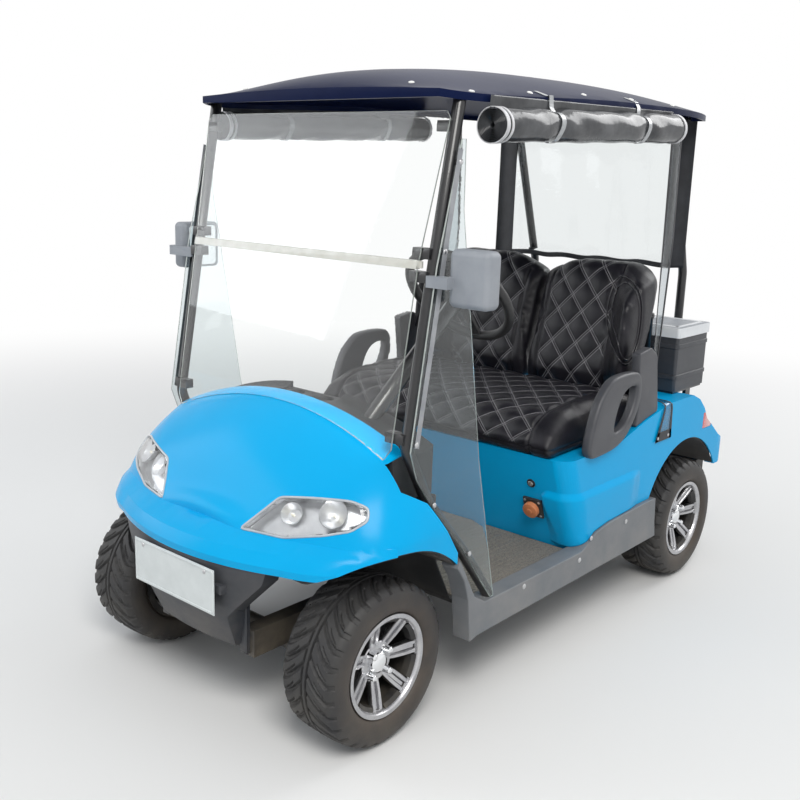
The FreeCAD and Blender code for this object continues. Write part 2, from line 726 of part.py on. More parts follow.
roof_outer = roof_loft(0)
roof_inner = roof_loft(size("roof_shell"))
roof = roof_outer.cut(roof_inner)
keep("roof", roof)


STRUT_LINE = (
    (485, fy(272), ROOF_EDGE + 80),
    (481, fy(182), 1281),
    (479, fy(98), 800),
    (500, fy(170), 640),
    (524, fy(306), 470),
    (552, fy(404), SILL_TOP + TUBE_R * 0.2),
)
WING_X = 507
WING_KNEE = 720
WING_FOOT = 250
WING_FOOT_X = 578
WING_RUN = (WING_FOOT_X - WING_X) / (WING_KNEE - WING_FOOT)


def wing_x(z):
    """Inner face of the side wing at one height: upright above its knee, flared below."""
    return WING_X + max(0, WING_KNEE - z) * WING_RUN


STRUT_SCREWS = (
    # strut place across and along, height: where the side wing is screwed to the strut
    (483, fy(238), 1542), (481, fy(188), 1317), (479, fy(101), 820), (500, fy(170), 640),
    (524, fy(306), 470),
)
spacers = [rod((x, y, z), (wing_x(z) - size("seat_gap"), y, z), 8) for x, y, z in STRUT_SCREWS]
GLASS = size("glass")
CLIPS = (
    # a place on the pane, strut place along, height
    (on_high(462, 1630), fy(248), 1630),
    (on_high(450, 1310), fy(188), 1310),
    (on_low(450, 1250), fy(176), 1250),
    (on_low(446, 830), fy(104), 830),
)
clips = [
    box((face[0] - 22, face[1] + GLASS * 1.05 + size("seat_gap"), z - 14), (484, along, z + 14))
    for face, along, z in CLIPS
]
strut = tube(STRUT_LINE, TUBE_R, 60).multiFuse(spacers + clips).cut(sill).cut(roof)
strut = largest(strut.cut(low_pane).cut(high_pane))
pair("front_struts", strut)
REAR_STRUT_LINE = (
    (352, ry(52), ROOF_EDGE + 80),
    (352, ry(262), 1150),
    (352, ry(262), 470),
)
rear_strut_bar = tube(REAR_STRUT_LINE, TUBE_R, 90)

wing_top = side_plate([
    (fy(243), 1600), (fy(258), 1600), (fy(262), 1420), (fy(330), 1033), (fy(384), WING_KNEE),
    (fy(110), WING_KNEE), (fy(80), 800), (fy(160), 1281),
], WING_X, WING_X + GLASS)
WING_LOW_POINTS = (
    (fy(110), WING_KNEE), (fy(384), WING_KNEE), (fy(404), SILL_TOP + 4), (fy(390), SILL_TOP + 4),
    (fy(292), 470), (fy(158), 640),
)
wing_low = plate([(wing_x(z), y, z) for y, z in WING_LOW_POINTS], (GLASS, 0, 0))
wing = wing_top.fuse(wing_low).removeSplitter()


# Rear body: the box under the seat, its arches and the tail, as one open moulded shell.
BODY_HALF = size("body_half_width")
BODY_CORNER = 58
DECK = size("deck_height")
BODY_OUTLINE = (
    # places along Y and Z, round the body from the foot of its front face
    (BASE_FOOT, FLOOR_TOP + size("seat_gap")),
    (ry(-892), DECK),
    (ry(-560), DECK + 4),
    (ry(-360), DECK + 52),
    (ry(-190), DECK + 84),
    (ry(9), DECK + 84),
    (ry(71), DECK + 59),
    (ry(120), DECK + 18),
    (ry(155), DECK - 29),
    (ry(204), DECK - 64),
    (ry(278), DECK - 117),
    (ry(356), DECK - 156),
    (TAIL, DECK - 192),
    (TAIL - 12, DECK - 222),
    (ry(300), DECK - 240),
    (ry(-250), DECK - 240),
    (ry(-270), SILL_TOP + 64.5),
    (ry(-420), SILL_TOP + 62.5),
    (ry(-600), SILL_TOP + 56.5),
    (ry(-690), SILL_TOP + 44.5),
    (ry(-742), SILL_TOP + 18.5),
)
body_profile = polygon([(0, y, z) for y, z in BODY_OUTLINE])


def body_block(inset):
    """Rear body with its side profile and rounded tail, moved inwards by the inset."""
    wire = body_profile.makeOffset2D(-inset) if inset else body_profile
    half = BODY_HALF - inset
    solid = Part.Face(wire).extrude(vec(half * 2, 0, 0))
    solid.translate(vec(-half, 0, 0))
    middle = (BASE_FOOT + ry(-892)) / 2
    corners = [
        edge for edge in solid.Edges
        if abs(edge.CenterOfMass.y - middle) < 50 and abs(abs(edge.CenterOfMass.x) - half) < 1
        and edge.Length > (DECK - FLOOR_TOP) / 2
    ]
    solid = solid.makeFillet(BODY_CORNER - inset, corners)
    plan = Part.Face(Part.Wire([
        line((-half, ry(-1200), 0), (half, ry(-1200), 0)),
        line((half, ry(-1200), 0), (half, ry(270), 0)),
        arc((half, ry(270), 0), (half - 12, ry(338), 0), (half - 52, TAIL - inset - 20, 0)),
        arc((half - 52, TAIL - inset - 20, 0), (0, TAIL - inset, 0), (52 - half, TAIL - inset - 20, 0)),
        arc((52 - half, TAIL - inset - 20, 0), (12 - half, ry(338), 0), (-half, ry(270), 0)),
        line((-half, ry(270), 0), (-half, ry(-1200), 0)),
    ])).extrude(vec(0, 0, 1000))
    return solid.common(plan)


rear_arch = rod((-700, REAR_AXLE - 12, AXLE_HEIGHT), (700, REAR_AXLE - 12, AXLE_HEIGHT), size("rear_arch_radius"))
rear_skin = body_block(0)
rear_core = body_block(size("panel"))
WELL_HALF = 268
WELL_FLOOR = DECK - 176
well = box((-WELL_HALF, ry(-40), WELL_FLOOR), (WELL_HALF, TAIL + 100, DECK + 200))
open_below = box((-BODY_HALF + 40, ry(-758), 200), (BODY_HALF - 40, TAIL - 40, DECK - 200))
battery_door = box((-400, ry(-840), DECK - 40), (400, ry(-480), DECK + 60))
rear_body = rear_skin.cut(rear_core).cut(rear_arch).cut(open_below).cut(well)
rear_body = rear_body.cut(battery_door).cut(sill).cut(mirrored(sill))
tail_block = box((402, ry(118), DECK - 68), (700, ry(196), DECK - 4))
rear_body = rear_body.cut(tail_block).cut(mirrored(tail_block))
keep("rear_body", largest(rear_body))
rear_strut = largest(rear_strut_bar.cut(roof).cut(rear_skin))
pair("rear_struts", rear_strut)

well_outer = box((-WELL_HALF + 0.3, ry(-39.7), WELL_FLOOR), (WELL_HALF - 0.3, ry(330), DECK + 60))
well_outer = well_outer.common(rear_skin)
well_inner = box((-WELL_HALF + 5, ry(-34), WELL_FLOOR + 6), (WELL_HALF - 5, TAIL + 100, DECK + 200))
keep("bag_well", largest(well_outer.cut(well_inner)))

keep("battery_pack", box((-330, ry(-752), FLOOR_TOP + 0.3), (330, ry(-424), DECK - 64)))

REAR_BUMPER = (
    # places along Y and Z, round the black tail apron
    (ry(262), DECK - 242.5), (TAIL - 14, DECK - 222.5), (TAIL - 2, DECK - 240),
    (TAIL - 10, DECK - 290), (ry(318), DECK - 330), (ry(290), DECK - 330),
)
bumper_plan = Part.Face(Part.Wire([
    line((-490, ry(100), 0), (490, ry(100), 0)),
    line((490, ry(100), 0), (490, ry(330), 0)),
    arc((490, ry(330), 0), (0, TAIL - 3, 0), (-490, ry(330), 0)),
    line((-490, ry(330), 0), (-490, ry(100), 0)),
])).extrude(vec(0, 0, 1000))
rear_bumper = side_plate(REAR_BUMPER, -490, 490).common(bumper_plan).cut(rear_skin)
keep("rear_bumper", largest(rear_bumper))

# Tail lamps let into the rear corners of the body.
lamp_block = box((402.3, ry(118.3), DECK - 67.7), (700, ry(195.7), DECK - 4.3)).common(rear_skin)
pair("tail_lamps", largest(lamp_block.cut(body_block(26))))

# Seat: a bench cushion on the body's deck, two shaped backrests and their side covers.
CUSHION_LOW = DECK - 3
CUSHION_TOP = CUSHION_LOW + size("cushion_thickness")
CUSHION_OUTLINE = (
    (ry(-925), CUSHION_LOW + 26), (ry(-905), CUSHION_LOW + 2), (ry(-560), CUSHION_LOW + 2),
    (ry(-400), CUSHION_LOW + 44), (ry(-330), CUSHION_LOW + 60), (ry(-326), CUSHION_TOP - 12),
    (ry(-400), CUSHION_TOP - 2), (ry(-640), CUSHION_TOP), (ry(-800), CUSHION_TOP - 14),
    (ry(-896), CUSHION_TOP - 46), (ry(-932), CUSHION_TOP - 84),
)
CUSHION_HALF = size("cushion_half_width")
seat_ground = rear_skin.copy()
seat_ground.translate(vec(0, 0, size("seat_gap")))
cushion = side_plate(CUSHION_OUTLINE, -CUSHION_HALF, CUSHION_HALF).cut(seat_ground.fuse(rear_skin))
keep("seat_cushion", largest(cushion))

BACK_INNER = 12
BACK_OUTER = 474
BACK_LEVELS = (
    # height over the cushion, lean back, front wing reach, thickness share
    (-34, 0, 0, 0.74),
    (4, 0, 2, 0.78),
    (30, 0, 96, 0.82),
    (180, 36, 150, 1.0),
    (330, 72, 168, 1.0),
    (418, 98, 96, 0.86),
    (452, 118, 40, 0.5),
)


def backrest_wire(level):
    """Plan section of one backrest: flat middle, wing curving forward at the outer side."""
    height, lean, reach, share = level
    z = CUSHION_TOP + height
    front = ry(-318) + lean
    back = front + size("backrest_thickness") * share
    return polygon([
        (BACK_INNER + 6, front, z),
        (BACK_OUTER - 140, front - reach * 0.06, z),
        (BACK_OUTER - 70, front - reach * 0.5, z),
        (BACK_OUTER - 30, front - reach, z),
        (BACK_OUTER - 6, front - reach, z),
        (BACK_OUTER, front - reach * 0.8, z),
        (BACK_OUTER, back - 50, z),
        (BACK_OUTER - 40, back - 12, z),
        (BACK_OUTER - 110, back, z),
        (BACK_INNER + 6, back, z),
        (BACK_INNER, back - 14, z),
        (BACK_INNER, front + 14, z),
    ])


backrest = Part.makeLoft([backrest_wire(level) for level in BACK_LEVELS], True, True)
pair("backrests", backrest)

# Steel frame behind the backrests, with the bag rest that reaches back over the well.
BAR_R = 12
BAR_UP = 250
bar_lean = 36 + (72 - 36) * (BAR_UP - 180) / (330 - 180)
BAR_Y = ry(-318) + bar_lean + size("backrest_thickness") + BAR_R * 1.03 + size("seat_gap")
BAR_Z = CUSHION_TOP + BAR_UP
BAG_HALF = 196
uprights = [rod((x, BAR_Y, DECK + 84.3), (x, BAR_Y, BAR_Z), BAR_R) for x in (-430, -110, 110, 430)]
bag_rest = tube((
    (-BAG_HALF, BAR_Y, BAR_Z - 40), (-BAG_HALF, ry(70), BAR_Z - 10),
    (BAG_HALF, ry(70), BAR_Z - 10), (BAG_HALF, BAR_Y, BAR_Z - 40),
), BAR_R, 50)
bag_stays = [rod((x, BAR_Y, BAR_Z - 40), (x, BAR_Y, BAR_Z), BAR_R) for x in (-BAG_HALF, BAG_HALF)]
seat_frame = fuse([rod((-442, BAR_Y, BAR_Z), (442, BAR_Y, BAR_Z), BAR_R), bag_rest] + uprights + bag_stays)
keep("seat_frame", seat_frame)

# Armrest: a D-shaped loop of moulded plastic on each side of the bench.
ARM_X = BODY_HALF - size("armrest_width") + 24
ARM_OUTER = (
    (ry(-782), DECK + 6), (ry(-735), DECK + 2), (ry(-585), DECK + 14), (ry(-500), DECK + 88),
    (ry(-476), DECK + 170), (ry(-486), DECK + 230), (ry(-520), DECK + 242), (ry(-655), DECK + 240),
    (ry(-700), DECK + 214), (ry(-752), DECK + 160), (ry(-790), DECK + 40),
)
ARM_HOLE = (
    (ry(-600), DECK + 190), (ry(-516), DECK + 200), (ry(-520), DECK + 150),
    (ry(-556), DECK + 122), (ry(-616), DECK + 130), (ry(-640), DECK + 150),
)
arm_far = ARM_X + size("armrest_width")
armrest = side_plate(ARM_OUTER, ARM_X, arm_far).cut(side_plate(ARM_HOLE, ARM_X - 20, arm_far + 20))
pair("armrests", largest(armrest.cut(seat_ground)))

SIDE_COVER = (
    (ry(-453), DECK + 296), (ry(-363), DECK + 310), (ry(-316), DECK + 279), (ry(-277), DECK + 80),
    (ry(-277), DECK + 20), (ry(-440), DECK + 10), (ry(-430), DECK + 130),
)
cover = side_plate(SIDE_COVER, CUSHION_HALF + 3, CUSHION_HALF + 37).cut(seat_ground)
pair("side_covers", largest(cover))

# Clear side curtains rolled up under the roof's edges, and the clear rear curtain.
ROLL_R = size("roll_radius")
ROLL_X = ROOF_W + 10
roll = rod((ROLL_X, fy(322), ROOF_EDGE - 57), (ROLL_X, ry(-322), ROOF_EDGE - 18), ROLL_R)
leaf = side_plate([
    (fy(420), ROOF_EDGE - 60), (ry(-340), ROOF_EDGE - 30), (ry(-340), ROOF_EDGE + 44),
    (fy(800), ROOF_EDGE + 30), (fy(420), ROOF_EDGE + 12),
], ROOF_W + size("seat_gap"), ROOF_W + 3)
pair("side_curtain_rolls", largest(roll.fuse(leaf).removeSplitter().cut(roof_outer).cut(strut)))
CURTAIN_Y = ry(84) - size("roof_shell") - 4.3
rear_curtain = plate([
    (-ROOF_W + 92, CURTAIN_Y, ROOF_EDGE + 46),
    (ROOF_W - 92, CURTAIN_Y, ROOF_EDGE + 46),
    (ROOF_W - 92, CURTAIN_Y, ROOF_EDGE - 512),
    (-ROOF_W + 92, CURTAIN_Y, ROOF_EDGE - 512),
], (0, 4, 0))
both_rear_struts = rear_strut_bar.fuse(mirrored(rear_strut_bar))
keep("rear_curtain", largest(rear_curtain.cut(roof).cut(both_rear_struts)))
corner_strip = side_plate([
    (ry(-222), ROOF_EDGE + 30), (ry(-140), ROOF_EDGE + 30), (ry(-130), 1300), (ry(-180), DECK + 84.3),
    (ry(-196), DECK + 84.3), (ry(-206), 900),
], 484, 487)
pair("corner_curtains", largest(corner_strip.cut(roof)))

# Dashboard under the crown of the nose, with open pockets and two round cup wells.
CUP_FLOOR = 786
CUP_TOP = 850
CUP_X = 62
CUP_Y = fy(196)
dash = nose_loft(size("panel") + size("seat_gap")).common(box((-448, fy(84), 640), (448, fy(249), 960)))
TILT = math.radians(size("column_tilt"))
AXIS = vec(0, math.cos(TILT), math.sin(TILT))
HUB = vec(250, fy(600), 1146)
column_top = HUB - AXIS * 28.3
column_foot = HUB - AXIS * 520


def along_column(start, end, radius):
    return Part.makeCylinder(radius, (end - start).Length, start, end - start)


pockets = [
    box((-400, fy(130), 690), (-130, fy(300), 780)),
    box((-90, fy(130), 690), (90, fy(300), 762)),
    box((-CUP_X - 50, fy(140), CUP_TOP), (CUP_X + 50, fy(300), 960)),
    rod((CUP_X, CUP_Y, CUP_FLOOR), (CUP_X, CUP_Y, 960), size("cup_radius")),
    rod((-CUP_X, CUP_Y, CUP_FLOOR), (-CUP_X, CUP_Y, 960), size("cup_radius")),
    along_column(column_foot, HUB, 24.3),
]
dash = dash.cut(low_pane)
for hollow in pockets:
    dash = dash.cut(hollow)
keep("dashboard", largest(dash.cut(behind_cowl.common(side_plate(
    [(fy(60), 960), (fy(84), 640), (fy(40), 640)], -700, 700)))))
keep("steering_column", along_column(column_foot + AXIS * 0.3, column_top, 24))

TOE_LINE = ((fy(334), FLOOR_TOP + 0.3), (fy(266), 430), (fy(246), 560), (fy(246), 639.7))
toe_points = list(TOE_LINE) + [(y - 5, z) for y, z in reversed(TOE_LINE)]
toe_points[-1] = (fy(334) - 5, FLOOR_TOP + 0.3)
keep("toe_board", side_plate(toe_points, -468, 468))

PEDALS = (
    # low X, high X, foot place along Y, height
    (222, 292, fy(392), 112),
    (132, 184, fy(384), 128),
)
pedal_solids = [
    side_plate([
        (y, MAT_TOP), (y + 9, MAT_TOP), (y - 26, MAT_TOP + tall), (y - 35, MAT_TOP + tall),
    ], low, high)
    for low, high, y, tall in PEDALS
]
keep("pedals", Part.makeCompound(pedal_solids))

# Steering wheel: padded rim, three flat spokes and a hub, square to the column.
rim_ring = Part.makeTorus(size("wheel_rim_radius"), size("wheel_rim_tube"), vec(0, 0, 0), vec(0, 0, 1))
hub_disc = Part.makeCylinder(44, 30, vec(0, 0, -28), vec(0, 0, 1))
spokes = []
for angle in (90, 210, 330):
    spoke = Part.makeBox(size("wheel_rim_radius"), 30, 10, vec(0, -15, -10))
    spoke.rotate(vec(0, 0, 0), vec(0, 0, 1), angle)
    spokes.append(spoke)
steering = fuse([rim_ring, hub_disc] + spokes)
steering.rotate(vec(0, 0, 0), vec(1, 0, 0), size("column_tilt") - 90)
steering.translate(HUB)
keep("steering_wheel", steering)

# Mirrors on short arms: the left one is set for driving, the right one is folded back.
def rounded_block(low, high, radius):
    block = box(low, high)
    return block.makeFillet(radius, block.Edges)


MIRROR_Y = fy(160)
left_mirror = fuse([
    rounded_block((534, MIRROR_Y + 14, 1178), (662, MIRROR_Y + 76, 1328), 18),
    box((534, MIRROR_Y - 12, 1226), (554, MIRROR_Y + 30, 1256)),
    box((484, MIRROR_Y - 12, 1226), (552, MIRROR_Y + 14, 1256)),
]).cut(strut)
right_mirror = fuse([
    rounded_block((-632, MIRROR_Y + 30, 1180), (-572, MIRROR_Y + 176, 1328), 16),
    box((-590, MIRROR_Y - 12, 1226), (-484, MIRROR_Y + 14, 1256)),
    box((-596, MIRROR_Y - 12, 1226), (-576, MIRROR_Y + 40, 1256)),
]).cut(mirrored(strut))
keep("mirrors", Part.makeCompound([largest(left_mirror), largest(right_mirror)]))
wing = wing.cut(sill).cut(strut)
left_wing = largest(wing.cut(left_mirror))
right_wing = largest(mirrored(wing).cut(right_mirror))
keep("side_wings", Part.makeCompound([left_wing, right_wing]))

# Cooler on the left rear corner: an open box, its hinged lid and the bracket below them.
COOL_IN = 278
COOL_OUT = COOL_IN + size("cooler_width")
COOL_FRONT = ry(-46)
COOL_REAR = COOL_FRONT + size("cooler_depth")
COOL_LOW = DECK + 94
COOL_TOP = COOL_LOW + size("cooler_height")
cooler = box((COOL_IN, COOL_FRONT, COOL_LOW), (COOL_OUT, COOL_REAR, COOL_TOP))
wall = size("cooler_wall")
cooler = cooler.makeFillet(12, [edge for edge in cooler.Edges if abs(edge.BoundBox.ZLength) > 50])
cooler = cooler.cut(box(
    (COOL_IN + wall, COOL_FRONT + wall, COOL_LOW + wall), (COOL_OUT - wall, COOL_REAR - wall, COOL_TOP + 10)
))
keep("cooler_box", cooler)
lid = box(
    (COOL_IN - 2, COOL_FRONT - 4, COOL_TOP + size("seat_gap")),
    (COOL_OUT + 6, COOL_REAR + 4, COOL_TOP + size("lid_height")),
)
lid = lid.makeFillet(12, [edge for edge in lid.Edges if abs(edge.BoundBox.ZLength) > 20])
keep("cooler_lid", lid)
bracket_plate = box((COOL_IN + 6, COOL_FRONT + 6, DECK + 84.3), (COOL_OUT - 6, COOL_REAR - 10, COOL_LOW - 0.3))
legs = [box((x, ry(120), DECK - 100), (x + 14, ry(160), DECK + 90)) for x in (COOL_IN + 20, COOL_OUT - 40)]
keep("cooler_bracket", largest(bracket_plate.multiFuse(legs).cut(rear_skin)))

# Charging socket on the sloping front face of the seat base.
FACE_RUN = (ry(-892) - BASE_FOOT) / (DECK - FLOOR_TOP)
PORT_Z = 438
port_y = BASE_FOOT + FACE_RUN * (PORT_Z - FLOOR_TOP)
port = box((372, -9, -35), (442, -0.3, 35)).fuse(rod((407, -26, 0), (407, -2, 0), 24))
port.rotate(vec(0, 0, 0), vec(1, 0, 0), math.degrees(math.atan(-FACE_RUN)))
port.translate(vec(0, port_y, PORT_Z))
keep("charge_port", largest(port.cut(rear_skin)))

# Black liners inside the four wheel arches.
def liner(y, radius, low_x, high_x, core):
    ring = rod((low_x, y, AXLE_HEIGHT), (high_x, y, AXLE_HEIGHT), radius - 0.3)
    ring = ring.cut(rod((low_x - 5, y, AXLE_HEIGHT), (high_x + 5, y, AXLE_HEIGHT), radius - 4.3))
    return ring.common(core)


front_room = nose_core.cut(behind_cowl).common(box((0, fy(-330), 400), (700, fy(330), 900)))
front_liner = largest(liner(FRONT_AXLE, size("front_arch_radius"), 232, 560, front_room).cut(sill).cut(bumper))
rear_room = rear_core.common(box((300, ry(-400), 400), (555, TAIL, 900)))
rear_liner = largest(liner(REAR_AXLE - 12, size("rear_arch_radius"), 300, 556, rear_room))
keep("arch_liners", Part.makeCompound([front_liner, mirrored(front_liner), rear_liner, mirrored(rear_liner)]))

DOC.recompute()
os.makedirs("parts", exist_ok=True)
for item in NODES:
    if "Invalid" in item.State or "Error" in item.State:
        raise ValueError(item.Label + " failed to rebuild")
    if item.Shape.isNull() or not item.Shape.isValid():
        raise ValueError(item.Label + " is not a valid shape")
for item in NODES:
    item.Shape.exportStep(f"parts/{item.Label}.step")
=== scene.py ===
import json
import math

import bmesh
import bpy
import numpy as np
from mathutils import Matrix, Vector
from mathutils.bvhtree import BVHTree

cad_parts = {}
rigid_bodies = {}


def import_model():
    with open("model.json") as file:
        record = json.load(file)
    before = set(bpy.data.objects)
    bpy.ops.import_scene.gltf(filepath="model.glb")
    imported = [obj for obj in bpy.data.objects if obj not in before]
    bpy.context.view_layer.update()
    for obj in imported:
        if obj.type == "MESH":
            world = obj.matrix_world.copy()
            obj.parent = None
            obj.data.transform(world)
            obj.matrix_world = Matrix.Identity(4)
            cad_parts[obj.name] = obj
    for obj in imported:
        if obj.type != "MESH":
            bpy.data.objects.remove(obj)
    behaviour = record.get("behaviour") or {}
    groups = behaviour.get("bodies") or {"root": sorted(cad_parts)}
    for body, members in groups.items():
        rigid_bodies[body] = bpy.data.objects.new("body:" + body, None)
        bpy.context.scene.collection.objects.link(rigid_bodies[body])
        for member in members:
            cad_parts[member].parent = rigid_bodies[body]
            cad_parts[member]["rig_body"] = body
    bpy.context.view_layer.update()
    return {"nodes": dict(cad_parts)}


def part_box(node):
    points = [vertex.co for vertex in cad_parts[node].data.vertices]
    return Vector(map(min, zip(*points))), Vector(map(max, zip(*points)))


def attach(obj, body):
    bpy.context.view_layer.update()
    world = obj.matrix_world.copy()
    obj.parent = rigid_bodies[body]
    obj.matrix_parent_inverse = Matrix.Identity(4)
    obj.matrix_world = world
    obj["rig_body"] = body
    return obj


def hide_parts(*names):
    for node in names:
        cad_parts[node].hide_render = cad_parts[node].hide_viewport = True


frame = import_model()

# Studio: a pale floor that fades into white, a soft key lamp from the cart's left front, a broad
# fill, a lamp from behind and a white surround, at a level at which colours come out as written.
FADE_START, FADE_END = 2.2, 6.5
bpy.context.scene.view_settings.view_transform = "Standard"


def node_of(tree, kind, **settings):
    """New shader node. A setting named like an input, with _ for a space, links a socket to that input or
    sets its value; any other setting is a property."""
    node = tree.nodes.new(kind)
    for key, value in settings.items():
        taken = node.inputs.get(key.replace("_", " "))
        if taken is None:
            setattr(node, key, value)
        elif isinstance(value, bpy.types.NodeSocket):
            tree.links.new(value, taken)
        else:
            taken.default_value = value
    return node


def maths(tree, operation, *terms, clamp=False):
    """Output of a math node whose terms are sockets or plain numbers."""
    node = node_of(tree, "ShaderNodeMath", operation=operation, use_clamp=clamp)
    for term, taken in zip(terms, node.inputs):
        if isinstance(term, bpy.types.NodeSocket):
            tree.links.new(term, taken)
        else:
            taken.default_value = term
    return node.outputs[0]


def ramp(tree, value, low, high):
    """Output of a smooth S curve from 0 where the value is low to 1 where it is high."""
    return node_of(tree, "ShaderNodeMapRange", interpolation_type="SMOOTHSTEP", Value=value,
                   From_Min=low, From_Max=high).outputs[0]


def mixed(tree, share, first, second):
    """Output of a mix of two shaders' outputs by a share."""
    node = tree.nodes.new("ShaderNodeMixShader")
    for given, taken in zip((share, first, second), node.inputs):
        tree.links.new(given, taken)
    return node.outputs[0]


def seen_directly(tree):
    """Output that is 1 for camera, transmission and glossy rays, and 0 for all others."""
    rays = node_of(tree, "ShaderNodeLightPath").outputs
    seen = maths(tree, "MAXIMUM", rays["Is Camera Ray"], rays["Is Transmission Ray"])
    return maths(tree, "MAXIMUM", seen, rays["Is Glossy Ray"])


def added(name, data):
    """New object of the given data, in the scene."""
    item = bpy.data.objects.new(name, data)
    bpy.context.scene.collection.objects.link(item)
    return item


def surround():
    """White for rays that see it directly, and an even pale light for all others."""
    world = bpy.data.worlds.new("studio_surround")
    bpy.context.scene.world = world
    world.use_nodes = True
    tree = world.node_tree
    tree.nodes.clear()
    white = node_of(tree, "ShaderNodeBackground", Color=(1, 1, 1, 1), Strength=1.0)
    pale = node_of(tree, "ShaderNodeBackground", Color=(0.93, 0.96, 1.0, 1), Strength=0.55)
    both = mixed(tree, seen_directly(tree), pale.outputs[0], white.outputs[0])
    node_of(tree, "ShaderNodeOutputWorld", Surface=both)


def floor_material():
    """Pale matt floor that fades to plain white with distance from the middle."""
    material = bpy.data.materials.new("studio_floor")
    material.use_nodes = True
    tree = material.node_tree
    tree.nodes.clear()
    place = node_of(tree, "ShaderNodeTexCoord")
    away = node_of(tree, "ShaderNodeVectorMath", operation="LENGTH", Vector=place.outputs["Object"])
    fade = ramp(tree, away.outputs["Value"], FADE_START, FADE_END)
    matt = node_of(tree, "ShaderNodeBsdfPrincipled", Base_Color=(0.80, 0.80, 0.79, 1), Roughness=0.9)
    glow = node_of(tree, "ShaderNodeEmission", Color=(1, 1, 1, 1), Strength=1.0)
    share = maths(tree, "MULTIPLY", seen_directly(tree), fade)
    node_of(tree, "ShaderNodeOutputMaterial", Surface=mixed(tree, share, matt.outputs[0], glow.outputs[0]))
    return material


def quads(rows, columns, wrap_rows, wrap_columns, start):
    """Corner numbers of the quads between neighbouring grid points; a wrapped side joins last to first."""
    a, b = np.meshgrid(
        np.arange(rows if wrap_rows else rows - 1),
        np.arange(columns if wrap_columns else columns - 1), indexing="ij")
    c, d = (a + 1) % rows, (b + 1) % columns
    corners = np.stack([a * columns + b, c * columns + b, c * columns + d, a * columns + d], -1)
    return start + corners.reshape(-1, 4)


def floor():
    """A disc of quads between rings that widen outwards."""
    rings = np.array([0.0, 0.5, 1, 2, 4, 8, 16, 32])[:, None]
    turn = np.linspace(0, 2 * math.pi, 48, endpoint=False)[None, :]
    x, y = rings * np.cos(turn), rings * np.sin(turn)
    mesh = bpy.data.meshes.new("studio_floor")
    points = np.stack([x, y, np.zeros_like(x)], -1).reshape(-1, 3)
    mesh.from_pydata(points.tolist(), [], quads(*x.shape, False, True, 0).tolist())
    mesh.materials.append(floor_material())
    added("studio_floor", mesh)


def lamp(name, place, aim, width, power, colour):
    """Square soft lamp at a place, turned to face its aim."""
    data = bpy.data.lights.new(name, "AREA")
    data.shape = "SQUARE"
    data.size = width
    data.energy = power
    data.color = colour
    item = added(name, data)
    item.location = place
    item.rotation_euler = (Vector(aim) - Vector(place)).to_track_quat("-Z", "Y").to_euler()


surround()
floor()
lamp("key_lamp", (3.6, -3.4, 5.2), (0, -0.2, 0.6), 2.6, 250, (1.0, 0.98, 0.95))
lamp("fill_lamp", (-4.4, -3.2, 3.0), (0, 0, 0.8), 3.4, 70, (0.93, 0.96, 1.0))
lamp("back_lamp", (1.5, 5.0, 4.2), (0, 0, 0.9), 3.0, 110, (1.0, 1.0, 1.0))

# Camera at the photograph's place: to the cart's left front, at the height of the roof's shade,
# turned 40 degrees off the centre line, tipped down and slightly rolled.
CAMERA_AT = (2.0807, -2.6980, 1.5218)
TURN, TIP, ROLL = math.radians(40.46), math.radians(13.25), math.radians(1.82)
ahead = Vector((-math.sin(TURN) * math.cos(TIP), math.cos(TURN) * math.cos(TIP), -math.sin(TIP)))
level = Vector((math.cos(TURN), math.sin(TURN), 0))
rise = level.cross(ahead)
right = level * math.cos(ROLL) + rise * math.sin(ROLL)
upright = rise * math.cos(ROLL) - level * math.sin(ROLL)
camera = added("camera", bpy.data.cameras.new("camera"))
camera.data.sensor_width = 36
camera.data.lens = 44.28
camera.matrix_world = Matrix.Translation(CAMERA_AT) @ Matrix((right, upright, -ahead)).transposed().to_4x4()
bpy.context.scene.camera = camera

# Tyres: low road tyres with a directional tread of swept grooves round a narrow middle rib.
# Moulded black rubber, brown with dust on the side walls; each sits on its rim's bead.


